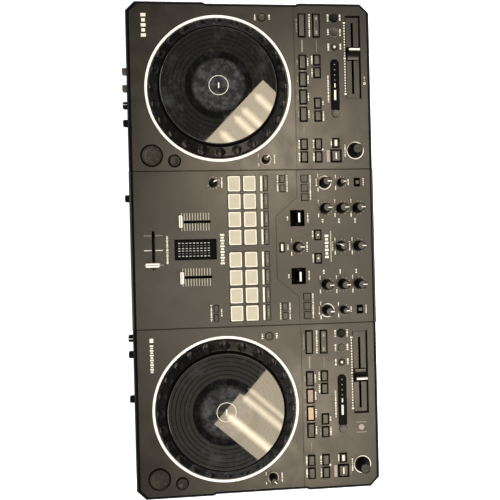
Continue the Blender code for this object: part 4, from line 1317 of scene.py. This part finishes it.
# Soft lights round the object, in metres and watts: place, what they aim at, size, power and colour
SIDE_LIGHTS = {
    "key_soft": ((0.9, 1.5, 2.6), (0, 0, 0), (0.9, 0.6), 80.0, (0.93, 0.97, 1.0)),
    "rear_soft": ((0.2, 2.0, 1.2), (0, 0.1, 0), (2.6, 0.8), 8.0, (1.0, 0.97, 0.92)),
    "front_soft": ((-0.2, -2.2, 1.3), (0, 0, 0), (2.4, 0.9), 3.0, (1.0, 0.97, 0.93)),
    "left_soft": ((-2.2, 0.2, 1.3), (0, 0, 0), (1.6, 0.9), 6.0, (1.0, 0.98, 0.95)),
    "right_soft": ((2.2, 0.3, 1.3), (0, 0, 0), (1.6, 0.9), 8.0, (1.0, 0.97, 0.92)),
}


def area_lamp(name, place, size, power, colour):
    """A rectangular soft lamp at a place in metres, which the camera doesn't see."""
    light = bpy.data.lights.new(name, "AREA")
    light.shape = "RECTANGLE"
    light.size, light.size_y = size
    light.energy = power
    light.color = colour
    lamp = bpy.data.objects.new(name, light)
    bpy.context.scene.collection.objects.link(lamp)
    lamp.location = place
    lamp.visible_camera = False
    return lamp


def lamp_over(name, mirrored, size, angle, radiance, colour, rise=LAMP_RISE):
    """A lamp that the jog plates mirror at a place on them, seen from over the middle.

    mirrored is the place of the lamp's mirror image on the plates, and size is the image's size there.
    """
    height = CAMERA[2] - MIRROR_Z
    scale = (height + rise) / height
    x = CAMERA[0] + (mirrored[0] - CAMERA[0]) * scale
    y = CAMERA[1] + (mirrored[1] - CAMERA[1]) * scale
    width, depth = size[0] * scale * MM, size[1] * scale * MM
    lamp = area_lamp(name, (x * MM, y * MM + OUTLINE_Y, (MIRROR_Z + rise) * MM), (width, depth),
                     radiance * math.pi * width * depth, colour)
    lamp.rotation_euler = (0, 0, math.radians(angle))
    return lamp


def ceiling_light(name, corner, along, turn, panes, colour):
    """A ceiling light as the jog plates mirror it: panes and tubes laid out from one corner of it.

    Each pane is its start and end along the light, its near and far edge across it, and its radiance.
    """
    u = Vector(along).normalized()
    v = Vector((-u.y, u.x)) * turn
    for index, (start, end, near_edge, far_edge, radiance) in enumerate(panes):
        middle = Vector(corner) + u * (start + end) / 2 + v * (near_edge + far_edge) / 2
        lamp_over(f"{name}_{index}", middle, (end - start, far_edge - near_edge),
                  math.degrees(math.atan2(u.y, u.x)), radiance, colour, LAMP_RISE - 20 * index)


def tube(at, width, radiance):
    """A soft-edged bright tube across a ceiling light, as three panes one inside another."""
    return [(at - width * share / 2, at + width * share / 2, 4 + 3 * step, 150 - step, radiance / 3)
            for step, share in enumerate((0.30, 0.62, 1.0))]


def make_light():
    """Dim pale surroundings, the ceiling that the glossy parts mirror, and soft lights on all sides."""
    world = bpy.data.worlds.new("studio")
    world.use_nodes = True
    background = world.node_tree.nodes["Background"]
    background.inputs["Color"].default_value = (0.96, 0.98, 1.0, 1.0)
    background.inputs["Strength"].default_value = 0.08
    bpy.context.scene.world = world
    for name, (corner, along, turn, panes, tubes) in CEILING_LIGHTS.items():
        for at, width, radiance in tubes:
            panes = panes + tube(at, width, radiance)
        ceiling_light(name, corner, along, turn, panes, CREAM)
    for name, (mirrored, size, radiance) in CEILING_AREAS.items():
        lamp_over(name, mirrored, size, 0.0, radiance, CEILING_TINT).visible_diffuse = False
    for name, (place, aim, size, power, colour) in SIDE_LIGHTS.items():
        lamp = area_lamp(name, place, size, power, colour)
        lamp.rotation_euler = (Vector(aim) - Vector(place)).to_track_quat("-Z", "Y").to_euler()
        lamp.visible_glossy = name != "key_soft"      # it would be a hard spot in the glossy parts


def make_camera():
    data = bpy.data.cameras.new("camera")
    data.lens = 33.6
    data.sensor_width = 36.0
    data.clip_start = 0.01
    camera = bpy.data.objects.new("camera", data)
    bpy.context.scene.collection.objects.link(camera)
    camera.location = (CAMERA[0] * MM, CAMERA[1] * MM + OUTLINE_Y, CAMERA[2] * MM)
    camera.rotation_euler = [math.radians(angle) for angle in CAMERA_TURN]
    bpy.context.scene.camera = camera


def make_deck(side):
    """Everything that both decks and both sides of the mixer have."""
    deck = DECKS[side]
    make_jog_rim(side)
    make_jog_plate(side)
    make_light_ring(side)
    make_keys(side + "_deck_keys", side + "_deck_keys",
              [(deck, 99.5, 220.0, 63.0), (deck - 102.0, 39.0, 16.0, 58.0)], deck_style(deck))
    make_round_button(side + "_play_button", 2.4)
    make_round_button(side + "_cue_button", 2.0)
    make_tempo_cap(side)
    make_lever(side)
    make_pads(side)
    make_switch(side)
    make_fader_cap(side + "_channel_cap")
    make_knob(side + "_browse_encoder", 0.68, 2.0, 24, pointer=0.0, finishes=("speckled", "encoder_top"))
    make_knob(side + "_deck_knob", 0.86, 1.6, 14, turn=-SIDES[side] * 42.0,
              finishes=("rubber", "key_faint", "white"))
    for band in BANDS:
        make_knob(f"{side}_{band}_knob")
    make_knob(side + "_filter_knob", pointer=1.6)
    make_knob(side + "_trim_knob", 0.84, 1.8, 14, finishes=("rubber", "key", "white"))
    deck_marks(side)
    deck_key_marks(side)


def make_mixer():
    """The knobs, keys and crossfader that the mixer has once."""
    for knob, turn in MIDDLE_KNOBS.items():
        make_knob(knob, turn=turn)
    make_knob("sampler_knob", 0.86, 1.8, 14, turn=25.0, finishes=("rubber", "rubber", "white"), pointer=1.5)
    make_keys("mixer_keys", "mixer_keys", [(93.0, 0.0, 30.0, 128.0), (0.0, 54.5, 212.0, 89.0)], mixer_style)
    make_fader_cap("crossfader_cap", along_x=True)


def make_front_knobs():
    for node in FRONT_KNOBS:
        pale = node in ("mic_low_knob", "mic_high_knob")
        marked = node in ("mic_level_knob", "crossfader_curve_knob")
        make_front_knob(node, ("grey" if pale else "rubber", "knob_top", "white"), marked)


bpy.context.scene.view_settings.view_transform = "Standard"
finish_cad_nodes()
for side in SIDES:
    make_deck(side)
make_mixer()
make_front_knobs()
make_meter()
mixer_marks()
mixer_key_marks()
outline_border()
lever_wells()
make_rear_sockets()
make_front_sockets()
make_underside()
make_floor()
make_light()
make_camera()
